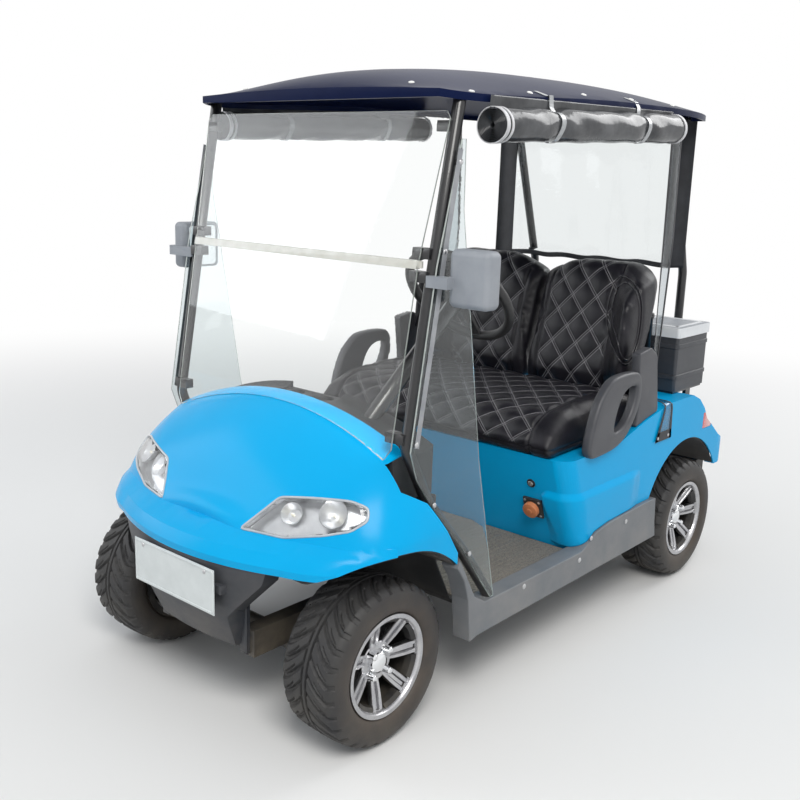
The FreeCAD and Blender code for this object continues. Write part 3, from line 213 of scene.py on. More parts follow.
def grain_group():
    """Soft patches and fine grain: two noises on Object coordinates; the patches mix base and tint, the
    grain gives height and shifts roughness, and dust settles where the patches are strong, low down."""
    group = bpy.data.node_groups.new("grain", "ShaderNodeTree")
    face = group.interface
    for kind, name, value in (
        ("Color", "Base", (0.5, 0.5, 0.5, 1)), ("Color", "Tint", (0.4, 0.4, 0.4, 1)),
        ("Color", "Dust", (0.30, 0.25, 0.18, 1)), ("Float", "Patch Scale", 4.0),
        ("Float", "Grain Scale", 400.0),
        ("Float", "Roughness", 0.5), ("Float", "Spread", 0.1), ("Float", "Dust Amount", 0.0),
        ("Float", "Dust Top", 0.5),
    ):
        face.new_socket(name, in_out="INPUT", socket_type="NodeSocket" + kind).default_value = value
    for name, kind in (("Color", "Color"), ("Roughness", "Float"), ("Height", "Float")):
        face.new_socket(name, in_out="OUTPUT", socket_type="NodeSocket" + kind)
    given = group.nodes.new("NodeGroupInput").outputs
    place = node_of(group, "ShaderNodeTexCoord").outputs["Object"]
    patch, fine = (
        node_of(group, "ShaderNodeTexNoise", Vector=place, Scale=given[scale], Detail=detail,
                Roughness=0.6).outputs["Fac"]
        for scale, detail in (("Patch Scale", 4.0), ("Grain Scale", 3.0)))
    band = node_of(group, "ShaderNodeMapRange", Value=patch, From_Min=0.35, From_Max=0.65).outputs[0]
    blend = node_of(group, "ShaderNodeMix", data_type="RGBA", Factor=band, A=given["Base"], B=given["Tint"])
    height = node_of(group, "ShaderNodeSeparateXYZ", Vector=place).outputs["Z"]
    low = node_of(group, "ShaderNodeMapRange", interpolation_type="SMOOTHSTEP", Value=height, From_Min=0.0,
                  From_Max=given["Dust Top"], To_Min=1.0, To_Max=0.0).outputs[0]
    settled = maths(group, "MULTIPLY", low, band)
    dusty = maths(group, "MULTIPLY", settled, given["Dust Amount"], clamp=True)
    covered = node_of(group, "ShaderNodeMix", data_type="RGBA", Factor=dusty, A=blend.outputs["Result"],
                      B=given["Dust"])
    shift = maths(group, "MULTIPLY", maths(group, "SUBTRACT", fine, 0.5), given["Spread"])
    rough = maths(group, "ADD", shift, given["Roughness"], clamp=True)
    node_of(group, "NodeGroupOutput", Color=covered.outputs["Result"], Roughness=rough, Height=fine)
    return group


GRAIN = grain_group()


def finish(name, base, tint, rough, spread, patch, grain, depth, dust=0.0, dust_top=0.5, **shader):
    """Principled surface whose colour, roughness and relief come from the grain group. Spread is how far
    the grain shifts the roughness, patch and grain are the noises' scales, depth is the relief's height."""
    material = bpy.data.materials.new(name)
    material.use_nodes = True
    tree = material.node_tree
    surface = tree.nodes["Principled BSDF"]
    cover = node_of(tree, "ShaderNodeGroup", node_tree=GRAIN, Base=(*base, 1), Tint=(*tint, 1),
                    Roughness=rough,
                    Spread=spread, Patch_Scale=patch, Grain_Scale=grain, Dust_Amount=dust, Dust_Top=dust_top)
    relief = node_of(tree, "ShaderNodeBump", Distance=depth, Strength=1.0, Height=cover.outputs["Height"])
    tree.links.new(cover.outputs["Color"], surface.inputs["Base Color"])
    tree.links.new(cover.outputs["Roughness"], surface.inputs["Roughness"])
    tree.links.new(relief.outputs[0], surface.inputs["Normal"])
    for key, value in shader.items():
        surface.inputs[key.replace("_", " ")].default_value = value
    return material


def overlaid(material, share, colour):
    """The finish with a plain colour over its own where the share says."""
    tree = material.node_tree
    taken = tree.nodes["Principled BSDF"].inputs["Base Color"]
    over = node_of(tree, "ShaderNodeMix", data_type="RGBA", Factor=share, A=taken.links[0].from_socket,
                   B=(*colour, 1))
    tree.links.new(over.outputs["Result"], taken)
    return material


def piece(name, grids, material, body="chassis", stands_for=(), sharp=40, closed=True):
    """One mesh object from grids of points, each (points, rows wrap, columns wrap, caps). Caps close the
    first and last rows of a grid whose columns wrap with flat faces. Each grid's map runs from 0 to 1."""
    vertices, faces, spots, start = [], [], [], 0
    for points, wrap_rows, wrap_columns, caps in grids:
        rows, columns = points.shape[:2]
        vertices.append(points.reshape(-1, 3))
        faces += quads(rows, columns, wrap_rows, wrap_columns, start).tolist()
        if caps:
            faces.append(list(range(start, start + columns))[::-1])
            faces.append(list(range(start + (rows - 1) * columns, start + rows * columns)))
        v, u = np.meshgrid(np.linspace(0, 1, rows), np.linspace(0, 1, columns), indexing="ij")
        spots.append(np.stack([u, v], -1).reshape(-1, 2))
        start += rows * columns
    mesh = bpy.data.meshes.new(name)
    mesh.from_pydata(np.concatenate(vertices).tolist(), [], faces)
    corner = np.zeros(len(mesh.loops), np.int32)
    mesh.loops.foreach_get("vertex_index", corner)
    layer = mesh.uv_layers.new(name="UVMap")
    layer.data.foreach_set("uv", np.concatenate(spots)[corner].astype(np.float32).ravel())
    return stand(name, mesh, material, body, stands_for, sharp, closed)


def stand(name, mesh, material, body="chassis", stands_for=(), sharp=40, closed=True):
    """Puts a finished mesh into the scene: doubles merged, faces outward, smooth between sharp edges."""
    if closed:
        work = bmesh.new()
        work.from_mesh(mesh)
        bmesh.ops.remove_doubles(work, verts=work.verts, dist=1e-6)
        bmesh.ops.recalc_face_normals(work, faces=work.faces)
        work.to_mesh(mesh)
        work.free()
    mesh.materials.append(material)
    mesh.shade_smooth()
    mesh.set_sharp_from_angle(angle=math.radians(sharp))
    item = added(name, mesh)
    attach(item, body)
    if stands_for:
        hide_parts(*stands_for)
    return item


AXLES = {
    # tyre's name, centre of the wheel across and along, which side faces outwards
    "front_left": (0.438, -0.8875, 1), "front_right": (-0.438, -0.8875, -1),
    "rear_left": (0.486, 0.7925, 1), "rear_right": (-0.486, 0.7925, -1),
}
AXLE_UP = 0.2295
TYRE_HALF = np.array([
    # across from the middle, out from the axle
    (0.0780, 0.1335), (0.0785, 0.1466), (0.0870, 0.1500), (0.0940, 0.1580), (0.0975, 0.1720),
    (0.0980, 0.1850), (0.0968, 0.1980), (0.0930, 0.2090), (0.0865, 0.2185), (0.0770, 0.2245),
])
TREAD_EDGE, TREAD_OUT, CROWN_RISE = 0.077, 0.2245, 0.0050
GROOVE_DEEP, WALL_LINE_RISE, WALL_LINES_AT = 0.0075, 0.0007, (0.1600, 0.2060)
LUGS, TREAD_STEPS = 30, 480


def smooth_step(low, high, value):
    """0 below low, 1 above high, and an even S curve between."""
    t = np.clip((value - low) / (high - low), 0, 1)
    return t * t * (3 - 2 * t)


def turned(profile, turns):
    """Points of a profile (across, out) turned about the X axis in equal steps."""
    angle = np.linspace(0, 2 * math.pi, turns, endpoint=False)
    across = np.repeat(profile[None, :, 0], turns, 0)
    out = np.repeat(profile[None, :, 1], turns, 0)
    return across, out, np.repeat(angle[:, None], len(profile), 1)


def placed(across, out, angle, wheel):
    """Wheel coordinates to the cart's: across along X, out and angle in the YZ plane about the axle."""
    x, y, side = wheel
    return np.stack([x + side * across, y - out * np.cos(angle), AXLE_UP + out * np.sin(angle)], -1)


def tyre_points(wheel):
    """Tyre section turned about the axle. On the tread the radius drops in grooves: swept ones whose
    phase runs ahead towards the middle, short sipes between them, and two rings beside the middle rib."""
    tread = np.linspace(TREAD_EDGE, -TREAD_EDGE, 60)
    crown = TREAD_OUT + CROWN_RISE * (1 - (np.abs(tread) / TREAD_EDGE) ** 2.6)
    profile = np.concatenate([TYRE_HALF, np.stack([tread, crown], -1)[1:-1], TYRE_HALF[::-1] * (-1, 1)])
    across, out, angle = turned(profile, TREAD_STEPS)
    off = np.abs(across) / TREAD_EDGE
    inward = np.clip(1 - off, 0, 1)
    phase = angle * LUGS / (2 * math.pi) - 1.5 * inward ** 1.4 + np.where(across > 0, 0.0, 0.5)
    swept = np.abs((phase % 1) - 0.5)
    wide = 0.085 + 0.05 * off
    groove = smooth_step(wide + 0.06, wide, swept) * smooth_step(0.10, 0.16, off)
    sipe = np.abs(((phase + 0.5 + 0.25 * off) % 1) - 0.5)
    groove = np.maximum(groove, 0.6 * smooth_step(0.09, 0.05, sipe) * smooth_step(0.45, 0.5, off)
                        * smooth_step(0.97, 0.9, off))
    groove = np.maximum(groove, smooth_step(0.035, 0.020, np.abs(off - 0.10)))
    on_tread = smooth_step(0.2090, 0.2200, out)
    lines = WALL_LINE_RISE * sum(smooth_step(0.0018, 0.0, np.abs(out - at)) for at in WALL_LINES_AT)
    swell = np.where(on_tread > 0.5, 0.0, lines)
    return placed(across * (1 + swell * 8), out - GROOVE_DEEP * groove * on_tread, angle, wheel)


def tyre_rubber():
    """Black rubber with brown dust on the side walls, by the map's place across the section."""
    material = finish("tyre_rubber", (0.022, 0.022, 0.024), (0.035, 0.034, 0.033), 0.60, 0.15, 9, 300, 0.0006,
                      dust=0.10, dust_top=0.30)
    tree = material.node_tree
    spot = node_of(tree, "ShaderNodeUVMap", uv_map="UVMap")
    spot = node_of(tree, "ShaderNodeSeparateXYZ", Vector=spot.outputs[0])
    wall = ramp(tree, maths(tree, "PINGPONG", spot.outputs["X"], 0.5), 0.11, 0.02)
    place = node_of(tree, "ShaderNodeTexCoord").outputs["Object"]
    noise = node_of(tree, "ShaderNodeTexNoise", Vector=place, Scale=22.0, Detail=5.0)
    much = maths(tree, "MULTIPLY", noise.outputs["Fac"], wall, clamp=True)
    return overlaid(material, much, (0.080, 0.060, 0.044))


RUBBER = tyre_rubber()
for corner, wheel in AXLES.items():
    piece("road_tyre_" + corner, [(tyre_points(wheel), True, True, False)], RUBBER,
          "wheel_" + corner, ("tyre_" + corner,), 32)

# Rims: cast alloy, machined bright on the lip and on seven pairs of spokes, with black pockets
# between them. The deep hub carries chrome nuts and a domed chrome cap over the spindle.
SPOKE_PAIRS, SPOKE_START = 7, 22
NUTS, NUT_START, NUT_CIRCLE = 4, 45, 0.0430
MACHINED = finish("machined_alloy", (0.56, 0.56, 0.57), (0.46, 0.46, 0.48), 0.28, 0.12, 30, 900, 0.0001,
                  Metallic=1.0)
# Black paint of the barrel and the pockets between the spokes; the same black on the brake drum is painted
# shade for the dark hollow behind the spokes.
BLACK_PAINT_AND_SHADE = finish("black_rim_paint_and_painted_shade", (0.012, 0.012, 0.013), (0.02, 0.02, 0.02), 0.35, 0.1, 12, 500, 0.0001,
                dust=0.25, dust_top=0.3)
CHROME = finish("chrome", (0.86, 0.87, 0.88), (0.80, 0.81, 0.83), 0.07, 0.04, 20, 200, 0.00005, Metallic=1.0)


def lathe(profile, wheel, turns=96):
    """Ring of a closed profile (across, out) about the wheel's axle."""
    return (placed(*turned(np.array(profile), turns), wheel), True, True, False)


def bar(breadth, depth, along, wheel, turn, offset):
    """Spoke bar: a rounded box section carried outwards along (out, across) points, beside a radius
    at one turn by its own offset, which may change on the way."""
    corner = np.array([(-1, -0.6), (-0.75, -1), (0.75, -1), (1, -0.6), (1, 1), (-1, 1)])
    out = along[:, :1] + 0 * corner[None, :, 0]
    beside = offset[:, None] + breadth[:, None] * corner[None, :, 0]
    across = along[:, 1:] - depth * (corner[None, :, 1] * 0.5 + 0.5)
    x, y, side = wheel
    py = out * math.cos(turn) - beside * math.sin(turn)
    pz = out * math.sin(turn) + beside * math.cos(turn)
    return (np.stack([x + side * across, y - py, AXLE_UP + pz], -1), False, True, True)


def spokes_of(wheel):
    """Pairs of spokes that spread outwards, each pair with a web between its two bars."""
    s = np.linspace(0, 1, 14)
    run = np.stack([0.038 + s * 0.092, 0.044 + 0.030 * s ** 1.5 + 0.004 * np.sin(math.pi * s)], -1)
    apart = 0.0085 + 0.0045 * s + 0.002 * np.sin(math.pi * s)
    spokes = []
    for number in range(SPOKE_PAIRS):
        turn = math.radians(SPOKE_START + number * 360 / SPOKE_PAIRS)
        spokes += [bar(0.0052 + 0.0012 * s, 0.016, run, wheel, turn, way * apart) for way in (-1, 1)]
        spokes.append(bar(0.006 + 0 * s, 0.010, run - (0, 0.007), wheel, turn, 0 * s))
    return spokes


def pads_of(wheel):
    """Thick parts of the barrel between the pairs of spokes, as arcs of one section (across, out)."""
    section = np.array([(0.0795, 0.1305), (0.0700, 0.1180), (0.0500, 0.1150), (0.0500, 0.1300)])
    span = np.linspace(-0.26, 0.26, 12)[:, None]
    across, out = section[:, 0] + 0 * span, section[:, 1] + 0 * span
    pads = []
    for number in range(SPOKE_PAIRS):
        middle = math.radians(SPOKE_START + (number + 0.5) * 360 / SPOKE_PAIRS)
        pads.append((placed(across, out, middle + span + 0 * across, wheel), False, True, True))
    return pads


def nuts_of(wheel):
    """Domed wheel nuts on a circle about the axle, from steps (across, out from the nut's middle)."""
    x, y, side = wheel
    steps = np.array([(0.0445, 0.0115), (0.0480, 0.0115), (0.0500, 0.0098), (0.0680, 0.0090),
                      (0.0715, 0.0055), (0.0720, 0.0001)])
    angle = np.linspace(0, 2 * math.pi, 12, endpoint=False)
    nuts = []
    for number in range(NUTS):
        turn = math.radians(NUT_START + number * 360 / NUTS)
        py = y - (NUT_CIRCLE * math.cos(turn) + steps[:, 1:] * np.cos(angle))
        pz = AXLE_UP + NUT_CIRCLE * math.sin(turn) + steps[:, 1:] * np.sin(angle)
        nuts.append((np.stack([x + side * steps[:, :1] + 0 * py, py, pz], -1), False, True, True))
    return nuts


def rim_pieces(corner, wheel):
    """Bright lip and spokes, black barrel and pockets, chrome nuts and cap of one wheel; the black on the
    brake drum behind the spokes is painted shade for the hollow there.
    """
    body = "wheel_" + corner
    lip = lathe([(0.0860, 0.1325), (0.0872, 0.1340), (0.0872, 0.1450), (0.0845, 0.1457), (0.0800, 0.1455),
                 (0.0790, 0.1330), (0.0700, 0.1290), (0.0700, 0.1275), (0.0800, 0.1290)], wheel, 128)
    hub = lathe([(0.030, 0.004), (0.030, 0.055), (0.0435, 0.057), (0.0460, 0.054), (0.0460, 0.036),
                 (0.0440, 0.034), (0.0440, 0.004)], wheel)
    piece("alloy_rim_" + corner, [lip, hub] + spokes_of(wheel), MACHINED, body,
          stands_for=("rim_" + corner,), sharp=35)
    barrel = lathe([(0.0780, 0.1318), (-0.0850, 0.1328), (-0.0850, 0.1450), (-0.0880, 0.1450),
                    (-0.0880, 0.1260), (0.0600, 0.1262)], wheel)
    # Brake drum, a real part, in the same black: painted shade for the dark hollow behind the spokes.
    drum = lathe([(0.0000, 0.0250), (0.0000, 0.1000), (-0.0060, 0.1040), (-0.0500, 0.1040),
                  (-0.0500, 0.0250)], wheel)
    piece("rim_barrel_" + corner, [barrel, drum] + pads_of(wheel), BLACK_PAINT_AND_SHADE, body, sharp=35)
    cap = lathe([(0.0440, 0.0300), (0.0480, 0.0310), (0.0560, 0.0300), (0.0600, 0.0260), (0.0640, 0.0180),
                 (0.0660, 0.0090), (0.0665, 0.0002), (0.0440, 0.0002)], wheel)
    piece("rim_chrome_" + corner, nuts_of(wheel) + [cap], CHROME, body)


for corner, wheel in AXLES.items():
    rim_pieces(corner, wheel)

# Nose: one glossy blue moulding over the front wheels, with a rounded lip along its lower front.
# Moulded sheet with painted, clear-coated skin; it is bolted to the frame behind the bumper.
BLUE = finish("blue_gel_coat", (0.001, 0.372, 0.735), (0.002, 0.390, 0.765), 0.22, 0.05, 2.2, 700, 0.00003,
              dust=0.18, IOR=1.23)


def dressed(node, name, material, width, angle=40, segments=2):
    """Copy of a CAD piece: loose triangles merged, its edges rounded, smooth elsewhere."""
    mesh = frame["nodes"][node].data.copy()
    mesh.name = name
    mesh.materials.clear()
    work = bmesh.new()
    work.from_mesh(mesh)
    bmesh.ops.remove_doubles(work, verts=work.verts, dist=2e-5)
    bmesh.ops.dissolve_degenerate(work, dist=1e-5, edges=work.edges)
    work.to_mesh(mesh)
    work.free()
    item = stand(name, mesh, material, frame["nodes"][node]["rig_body"], (node,), angle, False)
    if width:
        round_edges = item.modifiers.new("round_edges", "BEVEL")
        round_edges.width = width
        round_edges.segments = segments
        round_edges.limit_method = "ANGLE"
        round_edges.angle_limit = math.radians(angle)
        round_edges.harden_normals = True
    return item


dressed("front_cowl", "nose_moulding", BLUE, 0.002, 30)

# Headlamps: one clear lens in each front corner of the nose, flush with the blue skin.
# Behind it lie a silvered housing and two silvered bowls with bulbs; a pale grey bead seals its edge.


def clear(name, tint, rough, ior, light, grain=60.0, depth=0.00003):
    """See-through plastic: plain transmission for the eye, plain see-through for shadow rays."""
    material = finish(name, tint, tint, rough, rough * 0.6, 6.0, grain, depth, Transmission_Weight=1.0,
                      IOR=ior)
    tree = material.node_tree
    rays = node_of(tree, "ShaderNodeLightPath").outputs
    open_way = node_of(tree, "ShaderNodeBsdfTransparent", Color=(*(light * shade for shade in tint), 1))
    both = mixed(tree, rays["Is Shadow Ray"], tree.nodes["Principled BSDF"].outputs[0], open_way.outputs[0])
    tree.links.new(both, tree.nodes["Material Output"].inputs["Surface"])
    return material


def thick(item, wall, offset=-1.0):
    """Gives an open skin its wall, inwards from the modelled face by default."""
    shell = item.modifiers.new("wall", "SOLIDIFY")
    shell.thickness = wall
    shell.offset = offset
    return item


def places_of(mesh):
    """Vertex places of a mesh as rows."""
    points = np.empty(len(mesh.vertices) * 3, np.float32)
    mesh.vertices.foreach_get("co", points)
    return points.reshape(-1, 3)


def skin(node, name, choose):
    """Mesh of those faces of a CAD piece that the choice, given their middles and normals, picks."""
    work = bmesh.new()
    work.from_mesh(frame["nodes"][node].data)
    bmesh.ops.remove_doubles(work, verts=work.verts, dist=2e-5)
    bmesh.ops.triangulate(work, faces=work.faces)
    whole = bpy.data.meshes.new(name)
    work.to_mesh(whole)
    work.free()
    corners = np.empty(len(whole.polygons) * 3, np.int32)
    whole.polygons.foreach_get("vertices", corners)
    points, corners = places_of(whole), corners.reshape(-1, 3)
    first, second, third = points[corners[:, 0]], points[corners[:, 1]], points[corners[:, 2]]
    normal = np.cross(second - first, third - first)
    normal /= np.maximum(np.linalg.norm(normal, axis=1, keepdims=True), 1e-12)
    chosen = corners[choose((first + second + third) / 3, normal)]
    used, order = np.unique(chosen, return_inverse=True)
    mesh = bpy.data.meshes.new(name)
    mesh.from_pydata(points[used].tolist(), [], order.reshape(-1, 3).tolist())
    return mesh


def about(profile, place, axis, turns=32):
    """Grid of a profile (along the axis, out from it) turned about any axis through a place."""
    profile, axis = np.array(profile), np.array(axis, float)
    axis = axis / np.linalg.norm(axis)
    beside = np.cross(axis, (0, 0, 1) if abs(axis[2]) < 0.9 else (1, 0, 0))
    beside = beside / np.linalg.norm(beside)
    third = np.cross(axis, beside)
    angle = np.linspace(0, 2 * math.pi, turns, endpoint=False)[None, :, None]
    ring = beside * np.cos(angle) + third * np.sin(angle)
    points = np.array(place) + axis * profile[:, 0, None, None] + ring * profile[:, 1, None, None]
    return (points, False, True, True)


def solid_of(mesh):
    """Search tree of a mesh, for rays to be cast at."""
    work = bmesh.new()
    work.from_mesh(mesh)
    solid = BVHTree.FromBMesh(work)
    work.free()
    return solid


def struck(solid, place, way):
    """Where a ray from a place along a way meets a solid."""
    return np.array(solid.ray_cast(Vector(place), Vector(way))[0])


LAMP_AIM = np.array((0.35, -0.74, 0.57)) / np.linalg.norm((0.35, -0.74, 0.57))
LENS = clear("headlamp_lens", (0.97, 0.98, 0.99), 0.02, 1.40, 0.95)
SILVERED = finish("silvered_bowl", (0.62, 0.63, 0.64), (0.50, 0.51, 0.53), 0.30, 0.12, 14, 240, 0.0003,
                  Metallic=0.9)
BULB = finish("bulb_glass", (0.92, 0.88, 0.74), (0.86, 0.80, 0.66), 0.08, 0.05, 50, 300, 0.00004,
              Coat_Weight=1.0)


def faces_front(middles, normals):
    """Faces that look along the lamp's aim, mirrored on the cart's right."""
    side = np.sign(middles[:, :1])
    return ((normals * np.concatenate([side, side * 0 + 1, side * 0 + 1], 1)) @ LAMP_AIM) > 0.25


lenses = stand("headlamp_lenses", skin("headlamps", "headlamp_lenses", faces_front), LENS,
               stands_for=("headlamps",), sharp=30, closed=False)
thick(lenses, 0.0025)
inside = skin("headlamps", "headlamp_housings", lambda middles, normals: ~faces_front(middles, normals))
thick(stand("headlamp_housings", inside, SILVERED, sharp=30, closed=False), 0.0012)
lamp_solid = solid_of(frame["nodes"]["headlamps"].data)
bowls, bulbs = [], []
for side in (-1, 1):
    aim = LAMP_AIM * (side, 1, 1)
    for x, y, z, radius in ((0.285, -1.010, 0.625, 0.030), (0.395, -0.970, 0.643, 0.038)):
        face = struck(lamp_solid, np.array((side * x, y, z)) + aim * 0.3, -aim) - aim * 0.012
        s = np.linspace(0, 1, 12)
        inner = np.stack([-0.026 * (1 - s ** 2), 0.004 + (radius - 0.004) * s], -1)
        outer = inner[::-1] - (0.0015, 0) + (0, 0.001)
        bowls.append(about(np.concatenate([inner, outer]), face, aim, 40)[:1] + (True, True, False))
        bulbs.append(about([(-0.026, 0.0045), (-0.012, 0.0050), (-0.006, 0.0042), (-0.003, 0.0022),
                            (-0.0022, 0.0001)], face, aim, 20))


def outline_of(mesh, side):
    """Outline of an open skin on one side of the cart: the edges with one face are walked in order,
    then the closed line is cut into equal steps and each point is eased towards its neighbours."""
    work = bmesh.new()
    work.from_mesh(mesh)
    rim = [edge for edge in work.edges if len(edge.link_faces) == 1 and edge.verts[0].co.x * side > 0]
    after = {}
    for edge in rim:
        loop = edge.link_loops[0]
        after[loop.vert.index] = loop.link_loop_next.vert
    start = max(after, key=lambda index: after[index].co.x * side)
    line, spot = [], after[start]
    while spot.index in after and len(line) < len(after):
        line.append(tuple(spot.co))
        spot = after[spot.index]
    work.free()
    line = np.array(line + line[:1])
    far = np.concatenate([[0], np.cumsum(np.linalg.norm(np.diff(line, axis=0), axis=1))])
    steps = np.linspace(0, far[-1], 120, endpoint=False)
    even = np.stack([np.interp(steps, far, line[:, axis]) for axis in range(3)], -1)
    for _ in range(3):
        even = (np.roll(even, 1, 0) + 2 * even + np.roll(even, -1, 0)) / 4
    return even


def beading(line, radius, up, lift=0.0):
    """Round bead carried along a closed line, its section square to the line and to up."""
    ahead = np.roll(line, -1, 0) - np.roll(line, 1, 0)
    ahead /= np.linalg.norm(ahead, axis=1, keepdims=True)
    beside = np.cross(ahead, up)
    beside /= np.linalg.norm(beside, axis=1, keepdims=True)
    above = np.cross(beside, ahead)
    turn = np.linspace(0, 2 * math.pi, 8, endpoint=False)[None, :, None]
    middle = line[:, None] + above[:, None] * lift
    ring = beside[:, None] * np.cos(turn) + above[:, None] * np.sin(turn)
    return (middle + radius * ring, True, True, False)


LENS_SEAL = finish("lens_edge_grey", (0.50, 0.53, 0.55), (0.42, 0.45, 0.48), 0.25, 0.10, 30, 600, 0.0001,
                   Coat_Weight=0.5)
seals = [beading(outline_of(lenses.data, side), 0.0036, LAMP_AIM * (side, 1, 1)) for side in (-1, 1)]
piece("headlamp_seals", seals, LENS_SEAL, sharp=60)
piece("headlamp_bowls", bowls, SILVERED, sharp=30)
piece("headlamp_bulbs", bulbs, BULB)

# Front bumper and plate: a charcoal moulded apron under the lip, and a blank white pressed plate
# with a raised rim, held by two bolts on a short bracket.
CHARCOAL = finish("charcoal_moulding", (0.030, 0.034, 0.042), (0.045, 0.048, 0.056), 0.48, 0.12, 8, 900,
                  0.00015, dust=0.25, dust_top=0.6)
PLATE_WHITE = finish("plate_white", (0.66, 0.70, 0.70), (0.60, 0.64, 0.64), 0.32, 0.08, 16, 700, 0.00004,
                     dust=0.1)
STEEL = finish("bright_screw_steel", (0.62, 0.62, 0.63), (0.50, 0.50, 0.51), 0.30, 0.12, 60, 900, 0.00004,
               Metallic=1.0)
PLATE_FRONT, PLATE_MIDDLE, PLATE_BOLTS_UP = -1.1885, 0.424, 0.474
dressed("front_bumper", "bumper_apron", CHARCOAL, 0.003)
dressed("number_plate", "plate_sheet", PLATE_WHITE, 0.0007)


def frame_of(half_x, half_z, radius, section, middle):
    """Rounded rectangle in the XZ plane carrying a section (inwards from the line, forwards)."""
    corner = np.linspace(0, math.pi / 2, 7)
    places, ways = [], []
    for turn, (sx, sz) in enumerate(((1, 1), (-1, 1), (-1, -1), (1, -1))):
        angle = corner + turn * math.pi / 2
        way = np.stack([np.cos(angle), np.sin(angle)], -1)
        ways.append(way)
        places.append(np.array([sx * (half_x - radius), sz * (half_z - radius)]) + radius * way)
    places, ways = np.concatenate(places), np.concatenate(ways)
    section = np.array(section)
    flat = places[:, None, :] - ways[:, None, :] * section[None, :, :1]
    ahead = np.repeat(section[None, :, 1], len(places), 0)
    x, y, z = middle
    return (np.stack([x + flat[..., 0], y - ahead, z + flat[..., 1]], -1), True, True, False)


rim_bead = [(0.0008, 0.0), (0.0014, 0.0018), (0.0040, 0.0026), (0.0066, 0.0018), (0.0072, 0.0)]
rim = frame_of(0.1735, 0.0625, 0.010, rim_bead, (0, PLATE_FRONT, PLATE_MIDDLE))
piece("plate_rim", [rim], PLATE_WHITE)
dome = [(-0.001, 0.0062), (0.0008, 0.0062), (0.0018, 0.0054), (0.0026, 0.0034), (0.0028, 0.0001)]
bolts = [about(dome, (x, PLATE_FRONT, PLATE_BOLTS_UP), (0, -1, 0), 20) for x in (-0.135, 0.135)]
piece("plate_bolts", bolts, STEEL)

# Windscreen: two clear sheets that meet at a pale hinge strip, so that the upper one folds down.
# Cast acrylic with polished edges that catch the light, clamped to the struts by black clips.
PANE = clear("windscreen_acrylic", (0.965, 0.980, 0.975), 0.0, 1.46, 0.97)
PANE_EDGE = finish("acrylic_edge", (0.50, 0.56, 0.53), (0.62, 0.66, 0.63), 0.18, 0.08, 30, 300, 0.0001,
                   Transmission_Weight=0.35)
HINGE = finish("pale_hinge_strip", (0.66, 0.66, 0.60), (0.76, 0.76, 0.71), 0.22, 0.1, 24, 200, 0.0001,
               Transmission_Weight=0.25, Coat_Weight=0.6)


def repaint(item, material, choose):
    """Second material on those faces that the choice, given their middles and normals, picks."""
    mesh = item.data
    mesh.materials.append(material)
    count = len(mesh.polygons)
    middles, normals = np.empty(count * 3, np.float32), np.empty(count * 3, np.float32)
    number = np.empty(count, np.int32)
    mesh.polygons.foreach_get("center", middles)
    mesh.polygons.foreach_get("normal", normals)
    mesh.polygons.foreach_get("material_index", number)
    number[choose(middles.reshape(-1, 3), normals.reshape(-1, 3))] = len(mesh.materials) - 1
    mesh.polygons.foreach_set("material_index", number)
    return item


for level in ("lower", "upper"):
    pane = dressed("windscreen_" + level, "screen_pane_" + level, PANE, 0, 6)
    repaint(pane, PANE_EDGE, lambda middles, normals: np.abs(normals[:, 1]) < 0.6)
dressed("windscreen_hinge", "screen_hinge_strip", HINGE, 0.0012)

# Front struts and side wings: bent black tube from the floor to the roof's front corners, with
# flat clear wings outside it, screwed through spacers; a grey strip stiffens each wing's edge.
BLACK_TUBE = finish("black_powder_coat", (0.012, 0.012, 0.013), (0.018, 0.018, 0.020), 0.32, 0.10, 10, 1100,
                    0.00006, dust=0.15, dust_top=0.7, Coat_Weight=0.3)
WING = clear("wing_acrylic", (0.80, 0.86, 0.87), 0.0, 1.46, 0.90)
STRIP = finish("grey_edge_strip", (0.24, 0.25, 0.27), (0.32, 0.33, 0.35), 0.42, 0.1, 20, 700, 0.0001)
STRUT_SCREWS = np.array([
    # across, along, up: where a wing is screwed to its strut
    (0.5120, -0.6495, 1.5420), (0.5120, -0.6995, 1.3170), (0.5120, -0.7865, 0.8200),
    (0.5241, -0.7175, 0.6400), (0.5498, -0.5815, 0.4700),
])
dressed("front_struts", "front_strut_tubes", BLACK_TUBE, 0.0015)
wings = dressed("side_wings", "side_wing_sheets", WING, 0, 6)
repaint(wings, PANE_EDGE, lambda middles, normals: np.abs(normals[:, 0]) < 0.6)


def along_path(points, section, up=(0, 0, 1)):
    """Grid of a section (beside, above) carried along a path; beside is square to the path and to up."""
    points, section, up = np.array(points, float), np.array(section, float), np.array(up, float)
    ahead = np.gradient(points, axis=0)
    ahead /= np.linalg.norm(ahead, axis=1, keepdims=True)
    beside = np.cross(ahead, up)
    beside /= np.linalg.norm(beside, axis=1, keepdims=True)
    above = np.cross(beside, ahead)
    grid = points[:, None] + beside[:, None] * section[None, :, :1] + above[:, None] * section[None, :, 1:]
    return (grid, False, True, True)


def oblong(beside, above):
    """Rectangular section from its two half sizes."""
    return [(-beside, -above), (beside, -above), (beside, above), (-beside, above)]


STRIP_LINE = np.array([
    # across, along, up: down the outside of each wing, over its strut
    (0.5126, -0.652, 1.575), (0.5126, -0.697, 1.330), (0.5126, -0.742, 1.060), (0.5126, -0.786, 0.810),
])
wing_screw = [(0.0, 0.0075), (0.0016, 0.0075), (0.0030, 0.0062), (0.0042, 0.0035), (0.0044, 0.0001)]
strips, heads = [], []
for side in (-1, 1):
    heads += [about(wing_screw, place, (side, 0, 0), 18) for place in STRUT_SCREWS * (side, 1, 1)]
    strips.append(along_path(STRIP_LINE * (side, 1, 1), oblong(0.009, 0.0006), (side, 0, 0)))
piece("wing_screws", heads, STEEL)
piece("wing_strips", strips, STRIP)

